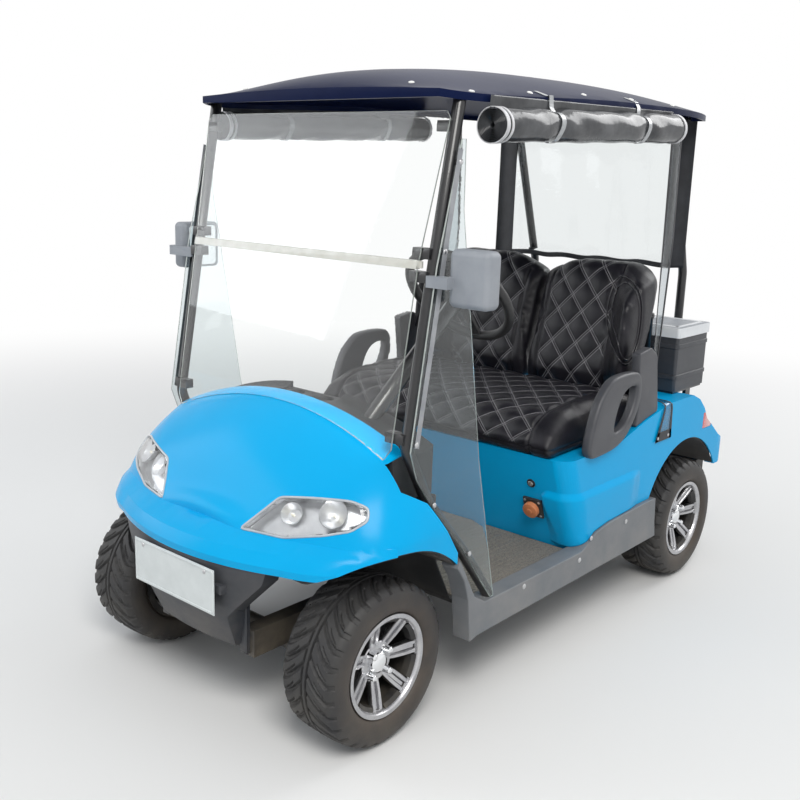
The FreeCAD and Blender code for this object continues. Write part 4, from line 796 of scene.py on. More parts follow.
# Roof: one moulded black canopy with a rolled brim, a deep blue-black gloss and white snaps
# along both sides for the curtains' straps.
ROOF_GLOSS = finish("roof_gloss", (0.003, 0.007, 0.034), (0.007, 0.013, 0.050), 0.32, 0.10, 3, 500, 0.00004,
                    IOR=1.13)
SNAP_WHITE = finish("white_snap", (0.86, 0.86, 0.84), (0.78, 0.78, 0.76), 0.25, 0.05, 40, 400, 0.00005)
dressed("roof", "roof_canopy", ROOF_GLOSS, 0.004, 35, 3)
ROOF_SOLID, ABOVE_ROOF = solid_of(frame["nodes"]["roof"].data), 2.4


def on_roof(x, y):
    """Place on the roof's upper face and the way it faces, from three rays cast straight down."""
    here, ahead, beside = (struck(ROOF_SOLID, (x + dx, y + dy, ABOVE_ROOF), (0, 0, -1))
                           for dx, dy in ((0, 0), (0, 0.01), (0.01, 0)))
    way = np.cross(beside - here, ahead - here)
    return here, way / np.linalg.norm(way)


snap = [(-0.001, 0.0085), (0.0015, 0.0085), (0.0032, 0.0070), (0.0042, 0.0040), (0.0046, 0.0001)]
SNAPS = [(side * 0.498, y) for side in (-1, 1) for y in (-0.60, -0.335, -0.05, 0.24, 0.53)]
SNAPS += [(x, -0.640) for x in (-0.33, 0.33)]
piece("roof_snaps", [about(snap, *on_roof(x, y), 18) for x, y in SNAPS], SNAP_WHITE)

# Side curtains: a clear vinyl sheet on each side, rolled up under the roof's edge and tied by two
# clear straps that button to the roof. White hems close both ends; many layers make it look dark.
VINYL = finish("rolled_vinyl", (0.030, 0.032, 0.036), (0.085, 0.088, 0.094), 0.15, 0.10, 9, 26, 0.0010,
               IOR=1.40)
HEM = finish("white_hem", (0.66, 0.66, 0.68), (0.56, 0.56, 0.58), 0.45, 0.1, 30, 900, 0.0002)
STRAP = finish("clear_strap", (0.42, 0.44, 0.46), (0.56, 0.58, 0.60), 0.20, 0.1, 22, 120, 0.0006,
               Transmission_Weight=0.35, Coat_Weight=0.6)
ROLL_FRONT, ROLL_REAR = np.array((0.542, -0.5655, 1.637)), np.array((0.542, 0.4703, 1.676))
ROLL_OUT, TURNS, TURN_STEPS = 0.050, 9, 20
STRAPS_AT = (0.27, 0.76)
HEMS_AT = ((0.001, 0.013), (0.022, 0.030), (0.987, 0.999))
SIDES = ((1, "left"), (-1, "right"))


def roll_radius(along, angle):
    """Roll's outer radius: drawn in under each strap, slack between, with folds that fan from the straps."""
    pull = sum(np.exp(-((along - at) / 0.035) ** 2) for at in STRAPS_AT)
    fan = sum(np.exp(-np.abs(along - at) / 0.14) * np.sin(3 * angle + 40 * (along - at)) for at in STRAPS_AT)
    slack = np.sin(2 * math.pi * along * 1.4 + 0.8) * np.cos(angle * 2 + 3 * along)
    return ROLL_OUT * (0.935 - 0.140 * pull + 0.065 * fan + 0.035 * slack)


def on_roll(along, angle, radius):
    """Places across, along and up, at shares of the roll's length, angles and radii."""
    centre = ROLL_FRONT + (ROLL_REAR - ROLL_FRONT) * along[..., None]
    return (centre[..., 0] + radius * np.cos(angle), centre[..., 1] + 0 * radius,
            centre[..., 2] + radius * np.sin(angle))


def rolled_sheet(side):
    """Spiral sheet: its radius falls turn by turn to a small core; the outer end runs up to the roof."""
    along = np.linspace(0, 1, 70)[:, None]
    s = np.linspace(0, 1, TURNS * TURN_STEPS)[None, :]
    angle = math.radians(100) - s * TURNS * 2 * math.pi
    x, y, z = on_roll(along, angle, roll_radius(along, angle) * (1 - 0.84 * s))
    x = x - 0.001
    up = np.linspace(1, 0, 6, endpoint=False)[None, :]
    top_x = x[:, :1] * (1 - up) + 0.5350 * up
    top_z = z[:, :1] * (1 - up) + (1.712 + 0.020 * along) * up
    x, z = np.concatenate([top_x, x], 1), np.concatenate([top_z, z], 1)
    return np.stack([side * x, y[:, :1] + 0 * x, z], -1)


def hem_band(low, high, side):
    """Band round the roll between two shares of its length, a little proud of the sheet."""
    along = np.array([low, low, high, high, high, low])[:, None]
    proud = np.array([0.0, 0.0016, 0.0016, 0.0, -0.0008, -0.0008])[:, None]
    angle = np.linspace(0, 2 * math.pi, 64, endpoint=False)[None, :]
    x, y, z = on_roll(along, angle, roll_radius(along, angle) + proud)
    return (np.stack([side * x, y, z], -1), True, True, False)


def strap(at, side):
    """Strap from its button on the roof, over the brim and once round the roll."""
    turn = np.linspace(math.radians(118), math.radians(-250), 60)
    x, y, z = on_roll(np.array(at), turn, roll_radius(np.array(at), turn) + 0.0022)
    loop = np.stack([side * x, y, z], -1)[6:]
    over = np.stack([struck(ROOF_SOLID, (side * out, y[0], ABOVE_ROOF), (0, 0, -1)) + (0, 0, 0.0015)
                     for out in (0.485, 0.500, 0.515, 0.527)])
    brim = np.array([(side * out, y[0], up)
                     for out, up in ((0.5370, 1.730), (0.5385, 1.712), (0.5400, 1.697))])
    return along_path(np.concatenate([over, brim, loop]), oblong(0.0006, 0.010), (0.02, 1, 0.01))


def thin_sheet(name, grids, material, wall, stands_for=()):
    """Piece from open grids of points, thickened evenly to both sides."""
    grids = [(points, False, False, False) for points in grids]
    return thick(piece(name, grids, material, stands_for=stands_for, sharp=60, closed=False),
                 wall, 0.0)


for side, label in SIDES:
    grid = rolled_sheet(side)
    roll = thin_sheet("curtain_roll_" + label, [grid], VINYL, 0.0007, ("side_curtain_rolls",))
    hems = [hem_band(*span, side) for span in HEMS_AT]
    hem = piece("curtain_hems_" + label, hems, HEM, sharp=50)
    straps = [strap(at, side) for at in STRAPS_AT]
    tie = piece("curtain_straps_" + label, straps, STRAP, sharp=50)

# Rear curtain and corner strips: a clear window with dark welted edges, hung from the roof's rear
# edge, and on each side a clear strip that runs down to the body and buttons to it with a flap.
WINDOW = clear("window_vinyl", (0.83, 0.86, 0.86), 0.05, 1.30, 0.92, 14, 0.0012)
DARK_FABRIC = finish("dark_curtain_fabric", (0.018, 0.019, 0.022), (0.032, 0.034, 0.040), 0.55, 0.15, 12,
                     900, 0.0003)
SMOKE = clear("smoked_strip_vinyl", (0.62, 0.66, 0.68), 0.08, 1.30, 0.85, 18, 0.0015)
CURTAIN_HALF, CURTAIN_AT, CURTAIN_FOOT, CURTAIN_DROP = 0.438, 0.866, 1.184, 0.552
STRIP_TOP, STRIP_FOOT, STRIP_AT = 1.712, 0.722, 0.4855
BODY_SIDE, STUDS_AT = 0.5668, (0.514, 0.594)


def rear_window_points(low_u, high_u, low_v, high_v, columns, rows, folds):
    """Part of the rear curtain between shares of its width and height; folds deepen towards its foot."""
    u = np.linspace(low_u, high_u, columns)[None, :]
    v = np.linspace(low_v, high_v, rows)[:, None]
    x = -CURTAIN_HALF + 2 * CURTAIN_HALF * u + 0 * v
    z = CURTAIN_FOOT + CURTAIN_DROP * v - 0.006 * (1 - v) * np.sin(5 * math.pi * u) ** 2
    wave = 0.0035 * np.sin(9 * math.pi * u + 1.5 * v) * (1.15 - v)
    gather = folds * np.sin(46 * u) * smooth_step(0.7, 1.0, np.abs(u - 0.5) * 2)
    return np.stack([x, CURTAIN_AT + (wave + gather) + 0 * x, z], -1)


pane = rear_window_points(0.09, 0.91, 0.03, 0.96, 60, 40, 0.0)
window = thin_sheet("rear_curtain_window", [pane], WINDOW, 0.0008, ("rear_curtain",))
borders = [rear_window_points(low, high, 0.0, 1.0, 40, 50, 0.006) for low, high in ((0.0, 0.10), (0.90, 1.0))]
borders += [rear_window_points(0.095, 0.905, low, high, 60, 8, 0.0)
            for low, high in ((0.0, 0.035), (0.95, 1.0))]
welt = thin_sheet("rear_curtain_borders", borders, DARK_FABRIC, 0.0012)


def strip_points(side, low, high, out):
    """Part of a corner strip between shares of its width: it narrows downwards and waves a little."""
    v = np.linspace(0, 1, 60)[:, None]
    u = np.linspace(low, high, 7)[None, :]
    z = STRIP_TOP - (STRIP_TOP - STRIP_FOOT) * v
    front = np.interp(v, [0, 0.42, 0.82, 1.0], [0.5725, 0.5795, 0.5865, 0.5965])
    rear = np.interp(v, [0, 0.42, 1.0], [0.6505, 0.6605, 0.6125])
    y = front + (rear - front) * u
    x = STRIP_AT + out + 0.004 * np.sin(7 * v) * np.sin(math.pi * u)
    return np.stack([side * x + 0 * y, y, z + 0 * y], -1)


def flap_points(side, low_u, high_u, low_v, high_v, out):
    """Part of a strip's foot between shares of its width and run: it laps over the body's shoulder,
    widens on its way down the side and lies on both."""
    v = np.linspace(low_v, high_v, 14)[:, None]
    u = np.linspace(low_u, high_u, 7)[None, :]
    bends = [0, 0.35, 0.44, 0.5, 1]
    lap = np.interp(v, bends, [0.4870, 0.5480, 0.5630, BODY_SIDE, BODY_SIDE]) + out + 0 * u
    drop = np.interp(v, bends, [0.7240, 0.7225, 0.7180, 0.7080, 0.5880]) + out + 0 * u
    return np.stack([side * lap, 0.6045 - 0.046 * v + u * (0.011 + 0.051 * v ** 1.3), drop], -1)


stud_head = [(0.0, 0.0065), (0.0022, 0.0060), (0.0036, 0.0035), (0.0040, 0.0001)]
for side, label in SIDES:
    strip = thin_sheet("corner_strip_" + label, [strip_points(side, 0.0, 1.0, 0.0)], SMOKE, 0.0008,
                       ("corner_curtains",))
    foot = flap_points(side, -1.0, 1.0, 0.0, 1.0, 0.0)
    flap = thin_sheet("corner_strip_flap_" + label, [foot], SMOKE, 0.0008)
    edges = [strip_points(side, low, high, 0.0008) for low, high in ((-0.01, 0.14), (0.86, 1.01))]
    edges += [flap_points(side, *span, 0.0008)
              for span in ((-1.0, -0.70, 0.0, 1.0), (0.70, 1.0, 0.0, 1.0), (-1.0, 1.0, 0.86, 1.0))]
    edge = thin_sheet("corner_strip_edges_" + label, edges, DARK_FABRIC, 0.0012)
    studs = [about(stud_head, (side * BODY_SIDE, y, 0.602), (side, 0, 0), 16) for y in STUDS_AT]
    stud = piece("corner_strip_studs_" + label, studs, STEEL)

# Mirrors: grey moulded heads on short arms at the wings, each with a flat silvered glass. The left
# one faces back, and the right one is folded in beside its strut.
MIRROR_SHELL = finish("grey_mirror_shell", (0.235, 0.255, 0.285), (0.285, 0.305, 0.335), 0.46, 0.10, 10,
                      1600, 0.0005)
SILVER_GLASS = finish("mirror_glass", (0.88, 0.89, 0.90), (0.84, 0.85, 0.86), 0.02, 0.02, 8, 200, 0.00001,
                      Metallic=1.0)
GLASS_LEFT, GLASS_RIGHT = (0.598, -0.6520, 1.253), (-0.5720, -0.6245)
dressed("mirrors", "mirror_heads", MIRROR_SHELL, 0.003, 35, 3)
left_glass = frame_of(0.054, 0.064, 0.012, [(0.0, 0.0), (0.0, -0.0012)], GLASS_LEFT)[0].swapaxes(0, 1)
right_glass = left_glass[..., [1, 0, 2]] + (GLASS_RIGHT[0] - GLASS_LEFT[1], GLASS_RIGHT[1] - GLASS_LEFT[0], 0)
piece("mirror_glasses", [(left_glass, False, True, True), (right_glass, False, True, True)], SILVER_GLASS,
      sharp=30)

# Rear body: one blue moulding from the seat base over both wheels to the tail, rounded at its
# corners. Red lamps are let in on both sides; tail apron, golf bag well and wheel liners are black.
BLACK_MOULDING = finish("black_moulding", (0.016, 0.016, 0.018), (0.026, 0.026, 0.028), 0.52, 0.12, 9, 1200,
                        0.0003, dust=0.25, dust_top=0.8)
RED_LENS = finish("red_lamp_lens", (0.58, 0.010, 0.012), (0.70, 0.020, 0.018), 0.10, 0.05, 60, 160, 0.0006,
                  Coat_Weight=1.0, Transmission_Weight=0.15)
SILL_GREY = finish("grey_sill_moulding", (0.150, 0.160, 0.172), (0.195, 0.204, 0.218), 0.50, 0.14, 5, 900,
                   0.0003, dust=0.35, dust_top=0.55)
dressed("rear_body", "body_moulding", BLUE, 0.004, 32, 3)
dressed("rear_bumper", "tail_apron", BLACK_MOULDING, 0.004, 38)
dressed("bag_well", "bag_well_tray", BLACK_MOULDING, 0.003)
dressed("arch_liners", "wheel_arch_liners", BLACK_MOULDING, 0.0)
dressed("tail_lamps", "tail_lamp_lenses", RED_LENS, 0.003, 38)
dressed("side_sills", "sill_panels", SILL_GREY, 0.004, 36, 3)
SILL_SCREWS = ((0.062, 0.348), (-0.005, 0.290), (0.300, 0.345), (-0.330, 0.300))
sill_screw = [(0.0, 0.0085), (0.0014, 0.0085), (0.0028, 0.0070), (0.0036, 0.0040), (0.0038, 0.0001)]
heads = [about(sill_screw, (side * 0.578, y, z), (side, 0, 0), 18)
         for side in (-1, 1) for y, z in SILL_SCREWS]
piece("sill_screws", heads, STEEL)

# Charging socket: a square black plate on the seat base with an orange cap, and above it a
# steel push button in a rubber ring.
ORANGE = finish("orange_socket_cap", (0.62, 0.22, 0.09), (0.54, 0.18, 0.07), 0.45, 0.1, 30, 900, 0.0003)
dressed("charge_port", "socket_plate", BLACK_MOULDING, 0.0015, 38)
BASE_FRONT, BASE_SLOPE, BASE_FOOT = 0.0225, 0.3656, 0.300
OUT_OF_BASE = np.array((0, -0.940, -0.341))
SOCKET_X, SOCKET_Z, BUTTON_X, BUTTON_Z = 0.407, 0.438, 0.410, 0.528


def on_base(z):
    """Place along Y of the seat base's sloping front face at a height."""
    return BASE_FRONT - BASE_SLOPE * (z - BASE_FOOT)


cap_middle = np.array((SOCKET_X, on_base(SOCKET_Z), SOCKET_Z)) + OUT_OF_BASE * 0.0262
cap = [(-0.0130, 0.0275), (0.0, 0.0280), (0.0032, 0.0268), (0.0046, 0.0235), (0.0046, 0.0100),
       (0.0066, 0.0080), (0.0072, 0.0001)]
piece("socket_cap", [about(cap, cap_middle, OUT_OF_BASE, 48)], ORANGE, sharp=35)
corner_bolt = [(0.006, 0.0045), (0.0105, 0.0045), (0.0120, 0.0030), (0.0122, 0.0001)]
bolts = [about(corner_bolt, (SOCKET_X + dx, on_base(SOCKET_Z + dz), SOCKET_Z + dz), OUT_OF_BASE, 14)
         for dx in (-0.027, 0.027) for dz in (-0.025, 0.025)]
button = np.array((BUTTON_X, on_base(BUTTON_Z), BUTTON_Z))
ring = about([(-0.001, 0.0160), (0.0030, 0.0155), (0.0042, 0.0125), (0.0036, 0.0100), (0.0030, 0.0001)],
             button, OUT_OF_BASE)
push = about([(0.0, 0.0095), (0.0060, 0.0095), (0.0072, 0.0082), (0.0068, 0.0001)], button, OUT_OF_BASE)
piece("socket_bolts", bolts + [push], STEEL)
piece("button_ring", [ring], BLACK_MOULDING)

# Ledge in the seat base: below it the base stands proud of its upper part, from beside the charging
# socket round the corner and back along the side, where it runs out. It is part of the blue moulding.
LEDGE_TOP, LEDGE_FOOT, LEDGE_OUT, LEDGE_START, LEDGE_END = 0.521, 0.492, 0.014, 0.438, 0.43
SIDE_AT, CORNER_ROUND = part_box("rear_body")[1][0], 0.058
BASE_LOW = np.array([
    # along, up: the body's lower edge over the mat and over the sill
    (-0.020, 0.3055), (0.0505, 0.3335), (0.1025, 0.3595), (0.1925, 0.3715), (0.3725, 0.3775),
    (0.5225, 0.3795),
])


def ledge_points(side):
    """The base's own face, followed from the front round the corner along the side, and moved out along its
    normal. The height falls over the ledge and to nothing at both ends, and shrinks a little downwards."""
    across = np.linspace(LEDGE_START, SIDE_AT - CORNER_ROUND, 18)
    turn = np.linspace(0, math.pi / 2, 16)[1:]
    back = np.linspace(0, LEDGE_END, 30)[1:]
    turn = np.concatenate([0 * across, turn, np.full(len(back), math.pi / 2)])
    flat = np.concatenate([across, np.full(len(turn) - len(across), SIDE_AT - CORNER_ROUND)])
    run = np.concatenate([np.zeros(len(turn) - len(back)), back])
    way = CORNER_ROUND / 0.940 * (1 - np.cos(turn)) + run
    low = np.interp(way + on_base(0.34), BASE_LOW[:, 0], BASE_LOW[:, 1])
    share = np.linspace(0, 1, 40)[:, None]
    z = low + (LEDGE_TOP + 0.004 - low) * share
    x = flat + CORNER_ROUND * np.sin(turn) + 0 * z
    y = on_base(z) + way
    normal = np.cos(turn)[:, None] * OUT_OF_BASE + np.sin(turn)[:, None] * np.array((1, 0, 0))
    height = LEDGE_OUT * smooth_step(LEDGE_TOP, LEDGE_FOOT, z) * (0.60 + 0.40 * smooth_step(0.36, 0.48, z))
    end = x - 0.9 * np.maximum(z - LEDGE_FOOT, 0)
    wide = 0.013 + 0.045 * np.clip(1.2 * (1 - share), 0, 1) ** 2
    height = height * smooth_step(LEDGE_START + 0.001, LEDGE_START + wide, end)
    height = height * smooth_step(LEDGE_END, LEDGE_END - 0.1, y)
    points = np.stack([x, y, z], -1) + normal[None] * (height - 0.0012)[..., None]
    return (points * (side, 1, 1))[:, ::-side]


for side, label in SIDES:
    thick(piece("seat_base_ledge_" + label, [(ledge_points(side), False, False, False)], BLUE,
                sharp=50, closed=False), 0.003)

# Cabin floor: a ribbed and speckled rubber mat on a sheet pan, a dark toe board, two pedals, and
# the moulded dashboard with open pockets and cup wells; the wheel is padded black on a steel column.
MAT = finish("speckled_mat", (0.105, 0.100, 0.094), (0.225, 0.215, 0.200), 0.85, 0.15, 260, 900, 0.0008,
             dust=0.5, dust_top=2.0)
PAN = finish("dark_floor_pan", (0.030, 0.031, 0.033), (0.045, 0.046, 0.048), 0.6, 0.15, 8, 600, 0.0003,
             dust=0.2)
DASH = finish("black_dash_grain", (0.020, 0.021, 0.023), (0.030, 0.031, 0.034), 0.55, 0.10, 14, 1500, 0.0005)
SOFT_GRIP = finish("soft_black_grip", (0.014, 0.014, 0.015), (0.022, 0.022, 0.023), 0.42, 0.10, 30, 900,
                   0.0004)
dressed("floor_mat", "cabin_mat", MAT, 0.001)
dressed("floor_pan", "cabin_pan", PAN, 0.001)
dressed("toe_board", "toe_panel", PAN, 0.001)
dressed("pedals", "pedal_plates", SOFT_GRIP, 0.002)
dressed("dashboard", "dash_moulding", DASH, 0.003, 35)
dressed("steering_column", "column_tube", BLACK_TUBE, 0.001)
HUB, COLUMN_WAY = (0.250, -0.2875, 1.146), (0, 0.766, 0.643)
MAT_TOP = 0.3053
dressed("steering_wheel", "wheel_rim_and_spokes", SOFT_GRIP, 0.002, 30)
cap = about([(0.001, 0.0300), (0.0045, 0.0290), (0.0062, 0.0240), (0.0068, 0.0001)], HUB, COLUMN_WAY, 40)
piece("wheel_hub_cap", [cap], DASH, "steering_wheel")
tread = [(-0.0025, -0.002), (0.0025, -0.002), (0.0015, 0.002), (-0.0015, 0.002)]
treads = []
for low, high, y in ((0.226, 0.288, -0.4995), (0.136, 0.180, -0.5075)):
    for level in np.linspace(0.032, 0.096, 6):
        line = [(x, y + 0.009 - 0.27 * level, MAT_TOP + level) for x in np.linspace(low, high, 4)]
        treads.append(along_path(line, tread, (0, 1, 0)))
piece("pedal_treads", treads, STEEL)
rib = [(-0.003, -0.0004), (0.003, -0.0004), (0.002, 0.0014), (-0.002, 0.0014)]
ribs = [along_path([(x, -0.531, MAT_TOP - 0.0001), (x, 0.006, MAT_TOP - 0.0001)], rib)
        for x in np.arange(-0.490, 0.4901, 0.020)]
piece("mat_ribs", ribs, MAT)

# Running gear below: welded steel frame, tube axles on leaf springs, electric motor at the rear
# axle, and a grey battery pack under the seat. All are painted or cast iron, dull and dusty.
FRAME_PAINT = finish("frame_black_paint", (0.020, 0.020, 0.022), (0.034, 0.032, 0.030), 0.50, 0.15, 8, 800,
                     0.0002, dust=0.5, dust_top=0.6)
IRON = finish("cast_iron", (0.085, 0.080, 0.075), (0.115, 0.098, 0.082), 0.58, 0.15, 22, 700, 0.0005,
              dust=0.5, dust_top=0.6, Metallic=0.5)
BATTERY = finish("battery_case_grey", (0.095, 0.100, 0.105), (0.120, 0.125, 0.130), 0.5, 0.1, 10, 900, 0.0003,
                 dust=0.3)
for material, nodes in ((FRAME_PAINT, ("ladder_frame", "leaf_springs", "front_axle")),
                        (IRON, ("knuckle_left", "knuckle_right", "rear_axle", "drive_motor")),
                        (BATTERY, ("battery_pack",))):
    for node in nodes:
        dressed(node, node + "_finished", material, 0.0015, 38)

# Rear struts and seat frame: black tube, one pair up to the roof and a bar behind the backrests
# with a loop for golf bags. A cooler stands on its bracket at the left.
dressed("rear_struts", "rear_strut_tubes", BLACK_TUBE, 0.0, 30)
dressed("seat_frame", "seat_frame_tubes", BLACK_TUBE, 0.0, 30)
dressed("cooler_bracket", "cooler_bracket_plate", BLACK_TUBE, 0.0015, 38)
COOLER = finish("cooler_charcoal", (0.034, 0.037, 0.044), (0.044, 0.047, 0.054), 0.45, 0.10, 12, 900, 0.0004)
LID_GREY = finish("cooler_lid_grey", (0.300, 0.320, 0.350), (0.345, 0.365, 0.395), 0.48, 0.10, 14, 1100,
                  0.0004)
LID_WHITE = finish("cooler_lid_rim", (0.74, 0.76, 0.78), (0.68, 0.70, 0.72), 0.35, 0.08, 18, 900, 0.0002)
dressed("cooler_box", "cooler_tub", COOLER, 0.003, 35, 3)
lid = dressed("cooler_lid", "cooler_lid_shell", LID_WHITE, 0.004, 35, 3)
repaint(lid, LID_GREY, lambda middles, normals: normals[:, 2] > 0.9)


def ring_round(half_x, half_y, radius, section, middle):
    """Rounded rectangle seen from above, carrying a section (outwards, upwards)."""
    grid, rows, columns, caps = frame_of(half_x, half_y, radius, section, (0, 0, 0))
    turned_up = np.stack([grid[..., 0], grid[..., 2], -grid[..., 1]], -1) + np.array(middle)
    return (turned_up, rows, columns, caps)


band = [(0.0, -0.009), (-0.0035, -0.007), (-0.0035, 0.007), (0.0, 0.009)]
bead = [(0.012, -0.001), (0.012, 0.0022), (0.016, 0.0036), (0.024, 0.0036), (0.028, 0.0022), (0.028, -0.001)]
bands = [ring_round(0.1125, 0.131, 0.012, band, (0.3905, 0.8775, z)) for z in (0.782, 0.900)]
piece("cooler_bands", bands, COOLER)
top_edge = ring_round(0.110, 0.126, 0.014, bead, (0.3925, 0.8775, 0.9708))
piece("cooler_lid_bead", [top_edge], LID_WHITE, "cooler_lid")

# Armrests and side covers: a D-shaped loop of black plastic on each side of the bench, with soft
# edges and a large hand hole, and a rounded cover that closes the gap behind it.
ARM_GRIP = finish("armrest_plastic", (0.050, 0.052, 0.060), (0.066, 0.068, 0.076), 0.42, 0.12, 10, 1300,
                  0.0003)
ARM_LINE = np.array([
    # along, up: round the outside of the loop from its front foot
    (0.0105, 0.642), (0.0465, 0.637), (0.2000, 0.648), (0.2800, 0.716), (0.3140, 0.790), (0.3080, 0.858),
    (0.2740, 0.874), (0.1400, 0.873), (0.0960, 0.848), (0.0440, 0.794), (0.0050, 0.676),
])
HAND_HOLE = np.array([
    (0.1900, 0.838), (0.2960, 0.850), (0.3000, 0.800), (0.2760, 0.736), (0.2240, 0.690), (0.1460, 0.676),
    (0.1360, 0.735),
])


def corners_cut(points):
    """Closed outline with every corner cut at a quarter of both its sides, three times over."""
    for _ in range(3):
        after = np.roll(points, -1, 0)
        points = np.stack([0.75 * points + 0.25 * after, 0.25 * points + 0.75 * after], 1).reshape(-1, 2)
    return points


def cushioned_plate(name, outlines, half, edge):
    """Mesh of a flat plate between outlines in its own plane, with round edges, from a filled curve."""
    curve = bpy.data.curves.new(name, "CURVE")
    curve.dimensions = "2D"
    curve.fill_mode = "BOTH"
    curve.extrude, curve.bevel_depth, curve.bevel_resolution = half - edge, edge, 4
    for outline in outlines:
        line = curve.splines.new("POLY")
        line.points.add(len(outline) - 1)
        flat = np.concatenate([outline, np.zeros((len(outline), 1)), np.ones((len(outline), 1))], 1)
        line.points.foreach_set("co", flat.astype(np.float32).ravel())
        line.use_cyclic_u = True
    carrier = added(name, curve)
    mesh = bpy.data.meshes.new_from_object(carrier.evaluated_get(bpy.context.evaluated_depsgraph_get()))
    bpy.data.objects.remove(carrier)
    return mesh


def move(mesh, points):
    """Moves a mesh's vertices to new places, given as rows."""
    mesh.vertices.foreach_set("co", points.astype(np.float32).ravel())


def upright(mesh, side, x):
    """Copy of a plate's mesh that stands along the cart at a place across."""
    along, up, across = places_of(mesh).T
    made = mesh.copy()
    move(made, np.stack([side * (x + across), along, up], -1))
    return made


loop = cushioned_plate("armrest", [corners_cut(ARM_LINE), corners_cut(HAND_HOLE)], 0.018, 0.011)
for side, label in SIDES:
    stand("armrest_loop_" + label, upright(loop, side, 0.568), ARM_GRIP,
          stands_for=("armrests",))
dressed("side_covers", "seat_side_covers", ARM_GRIP, 0.009, 38, 4)

# Seat: a bench cushion and two backrests of foam under black vinyl, quilted in diamonds with pale
# double stitching; plain rounded bolsters at the outer sides are set off by a sewn channel.
DIAMOND_WIDE, DIAMOND_HIGH, STITCH_OFF, STITCHES = 0.104, 0.124, 0.050, 15.0
FOAM_GRAIN, STUFFING_TICKS, STUFFING_FILL = 0.009, 20, 0.85


def stitch_group():
    """Double rows of short pale stitches beside every whole number of two lattice numbers: both give
    the distance to the nearest line, a dash pattern runs along the line, and a mask fades plain parts."""
    group = bpy.data.node_groups.new("double_stitches", "ShaderNodeTree")
    group.interface.new_socket("Lattice", in_out="INPUT", socket_type="NodeSocketVector")
    group.interface.new_socket("Mask", in_out="OUTPUT", socket_type="NodeSocketFloat")
    given = group.nodes.new("NodeGroupInput")
    spot = node_of(group, "ShaderNodeSeparateXYZ", Vector=given.outputs["Lattice"]).outputs
    rows = []
    for across, along in (("X", "Y"), ("Y", "X")):
        near = maths(group, "PINGPONG", spot[across], 0.5)
        off = maths(group, "ABSOLUTE", maths(group, "SUBTRACT", near, STITCH_OFF))
        dash = maths(group, "FRACT", maths(group, "MULTIPLY", spot[along], STITCHES))
        stitch = maths(group, "LESS_THAN", dash, 0.72)
        rows.append(maths(group, "MULTIPLY", ramp(group, off, 0.020, 0.010), stitch))
    mask = maths(group, "MULTIPLY", maths(group, "MAXIMUM", *rows), spot["Z"], clamp=True)
    node_of(group, "NodeGroupOutput", Mask=mask)
    return group


def stitched_vinyl():
    """Black vinyl with fine grain; pale thread where the stitch group's mask is set."""
    material = finish("black_seat_vinyl", (0.009, 0.009, 0.012), (0.016, 0.015, 0.020), 0.33, 0.12, 16, 1300,
                      0.0004, IOR=1.36)
    tree = material.node_tree
    lattice = node_of(tree, "ShaderNodeAttribute", attribute_name="lattice").outputs["Vector"]
    stitches = node_of(tree, "ShaderNodeGroup", node_tree=stitch_group(), Lattice=lattice)
    return overlaid(material, stitches.outputs[0], (0.26, 0.255, 0.27))


VINYL_SEAT = stitched_vinyl()


def baked(item):
    """New mesh with the item's modifiers applied; the item then carries it without them."""
    mesh = bpy.data.meshes.new_from_object(item.evaluated_get(bpy.context.evaluated_depsgraph_get()))
    mesh.name = item.name
    item.modifiers.clear()
    item.data = mesh
    return mesh


def stuffed(node, name, ease, swell, trim):
    """Foam piece from its solid: an even skin, trimmed to its cut, with eased corners, blown up as
    cloth under light pressure with its movement capped, then divided once."""
    item = added(name, frame["nodes"][node].data.copy())
    item.data.materials.clear()
    even = item.modifiers.new("even_skin", "REMESH")
    even.mode = "VOXEL"
    even.voxel_size = FOAM_GRAIN
    cut = trim(places_of(baked(item)))
    move(item.data, cut)
    eased = item.modifiers.new("eased", "SMOOTH")
    eased.factor, eased.iterations = 0.5, ease
    start = places_of(baked(item))
    cloth = item.modifiers.new("stuffing", "CLOTH")
    cloth.settings.quality = 5
    cloth.settings.use_pressure = True
    cloth.settings.uniform_pressure_force = 4.0
    cloth.settings.effector_weights.gravity = 0.0
    cloth.settings.tension_stiffness = cloth.settings.compression_stiffness = 25
    cloth.settings.bending_stiffness = 4
    cloth.point_cache.frame_start, cloth.point_cache.frame_end = 1, STUFFING_TICKS
    for tick in range(1, STUFFING_TICKS + 1):
        bpy.context.scene.frame_set(tick)
    moved = places_of(baked(item)) - start
    far = np.linalg.norm(moved, axis=1, keepdims=True)
    move(item.data, start + moved * np.minimum(1, swell / np.maximum(far, 1e-9)))
    bpy.context.scene.frame_set(1)
    finer = item.modifiers.new("finer", "SUBSURF")
    finer.levels = finer.render_levels = 1
    baked(item)
    return item


def sewn(item, node, lattice, channels, puff):
    """Quilting: puffed between lattice lines, drawn in along them and along the channels; the lattice is
    kept as an attribute for the stitches."""
    mesh = item.data
    points = places_of(mesh)
    normals = np.empty(len(mesh.vertices) * 3, np.float32)
    mesh.vertex_normals.foreach_get("vector", normals)
    normals = normals.reshape(-1, 3)
    u, v, shown = lattice(points, normals)
    hill = (np.abs(np.sin(math.pi * u)) * np.abs(np.sin(math.pi * v))) ** 0.45
    lift = puff * shown * (hill - 0.62)
    for depth, width, distance in channels(points):
        lift -= depth * np.exp(-(distance / width) ** 2)
    move(mesh, points + normals * lift[:, None])
    mark = mesh.attributes.new("lattice", "FLOAT_VECTOR", "POINT")
    mark.data.foreach_set("vector", np.stack([u, v, shown], -1).astype(np.float32).ravel())
    mesh.materials.clear()
    mesh.materials.append(VINYL_SEAT)
    mesh.shade_smooth()
    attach(item, "chassis")
    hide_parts(node)


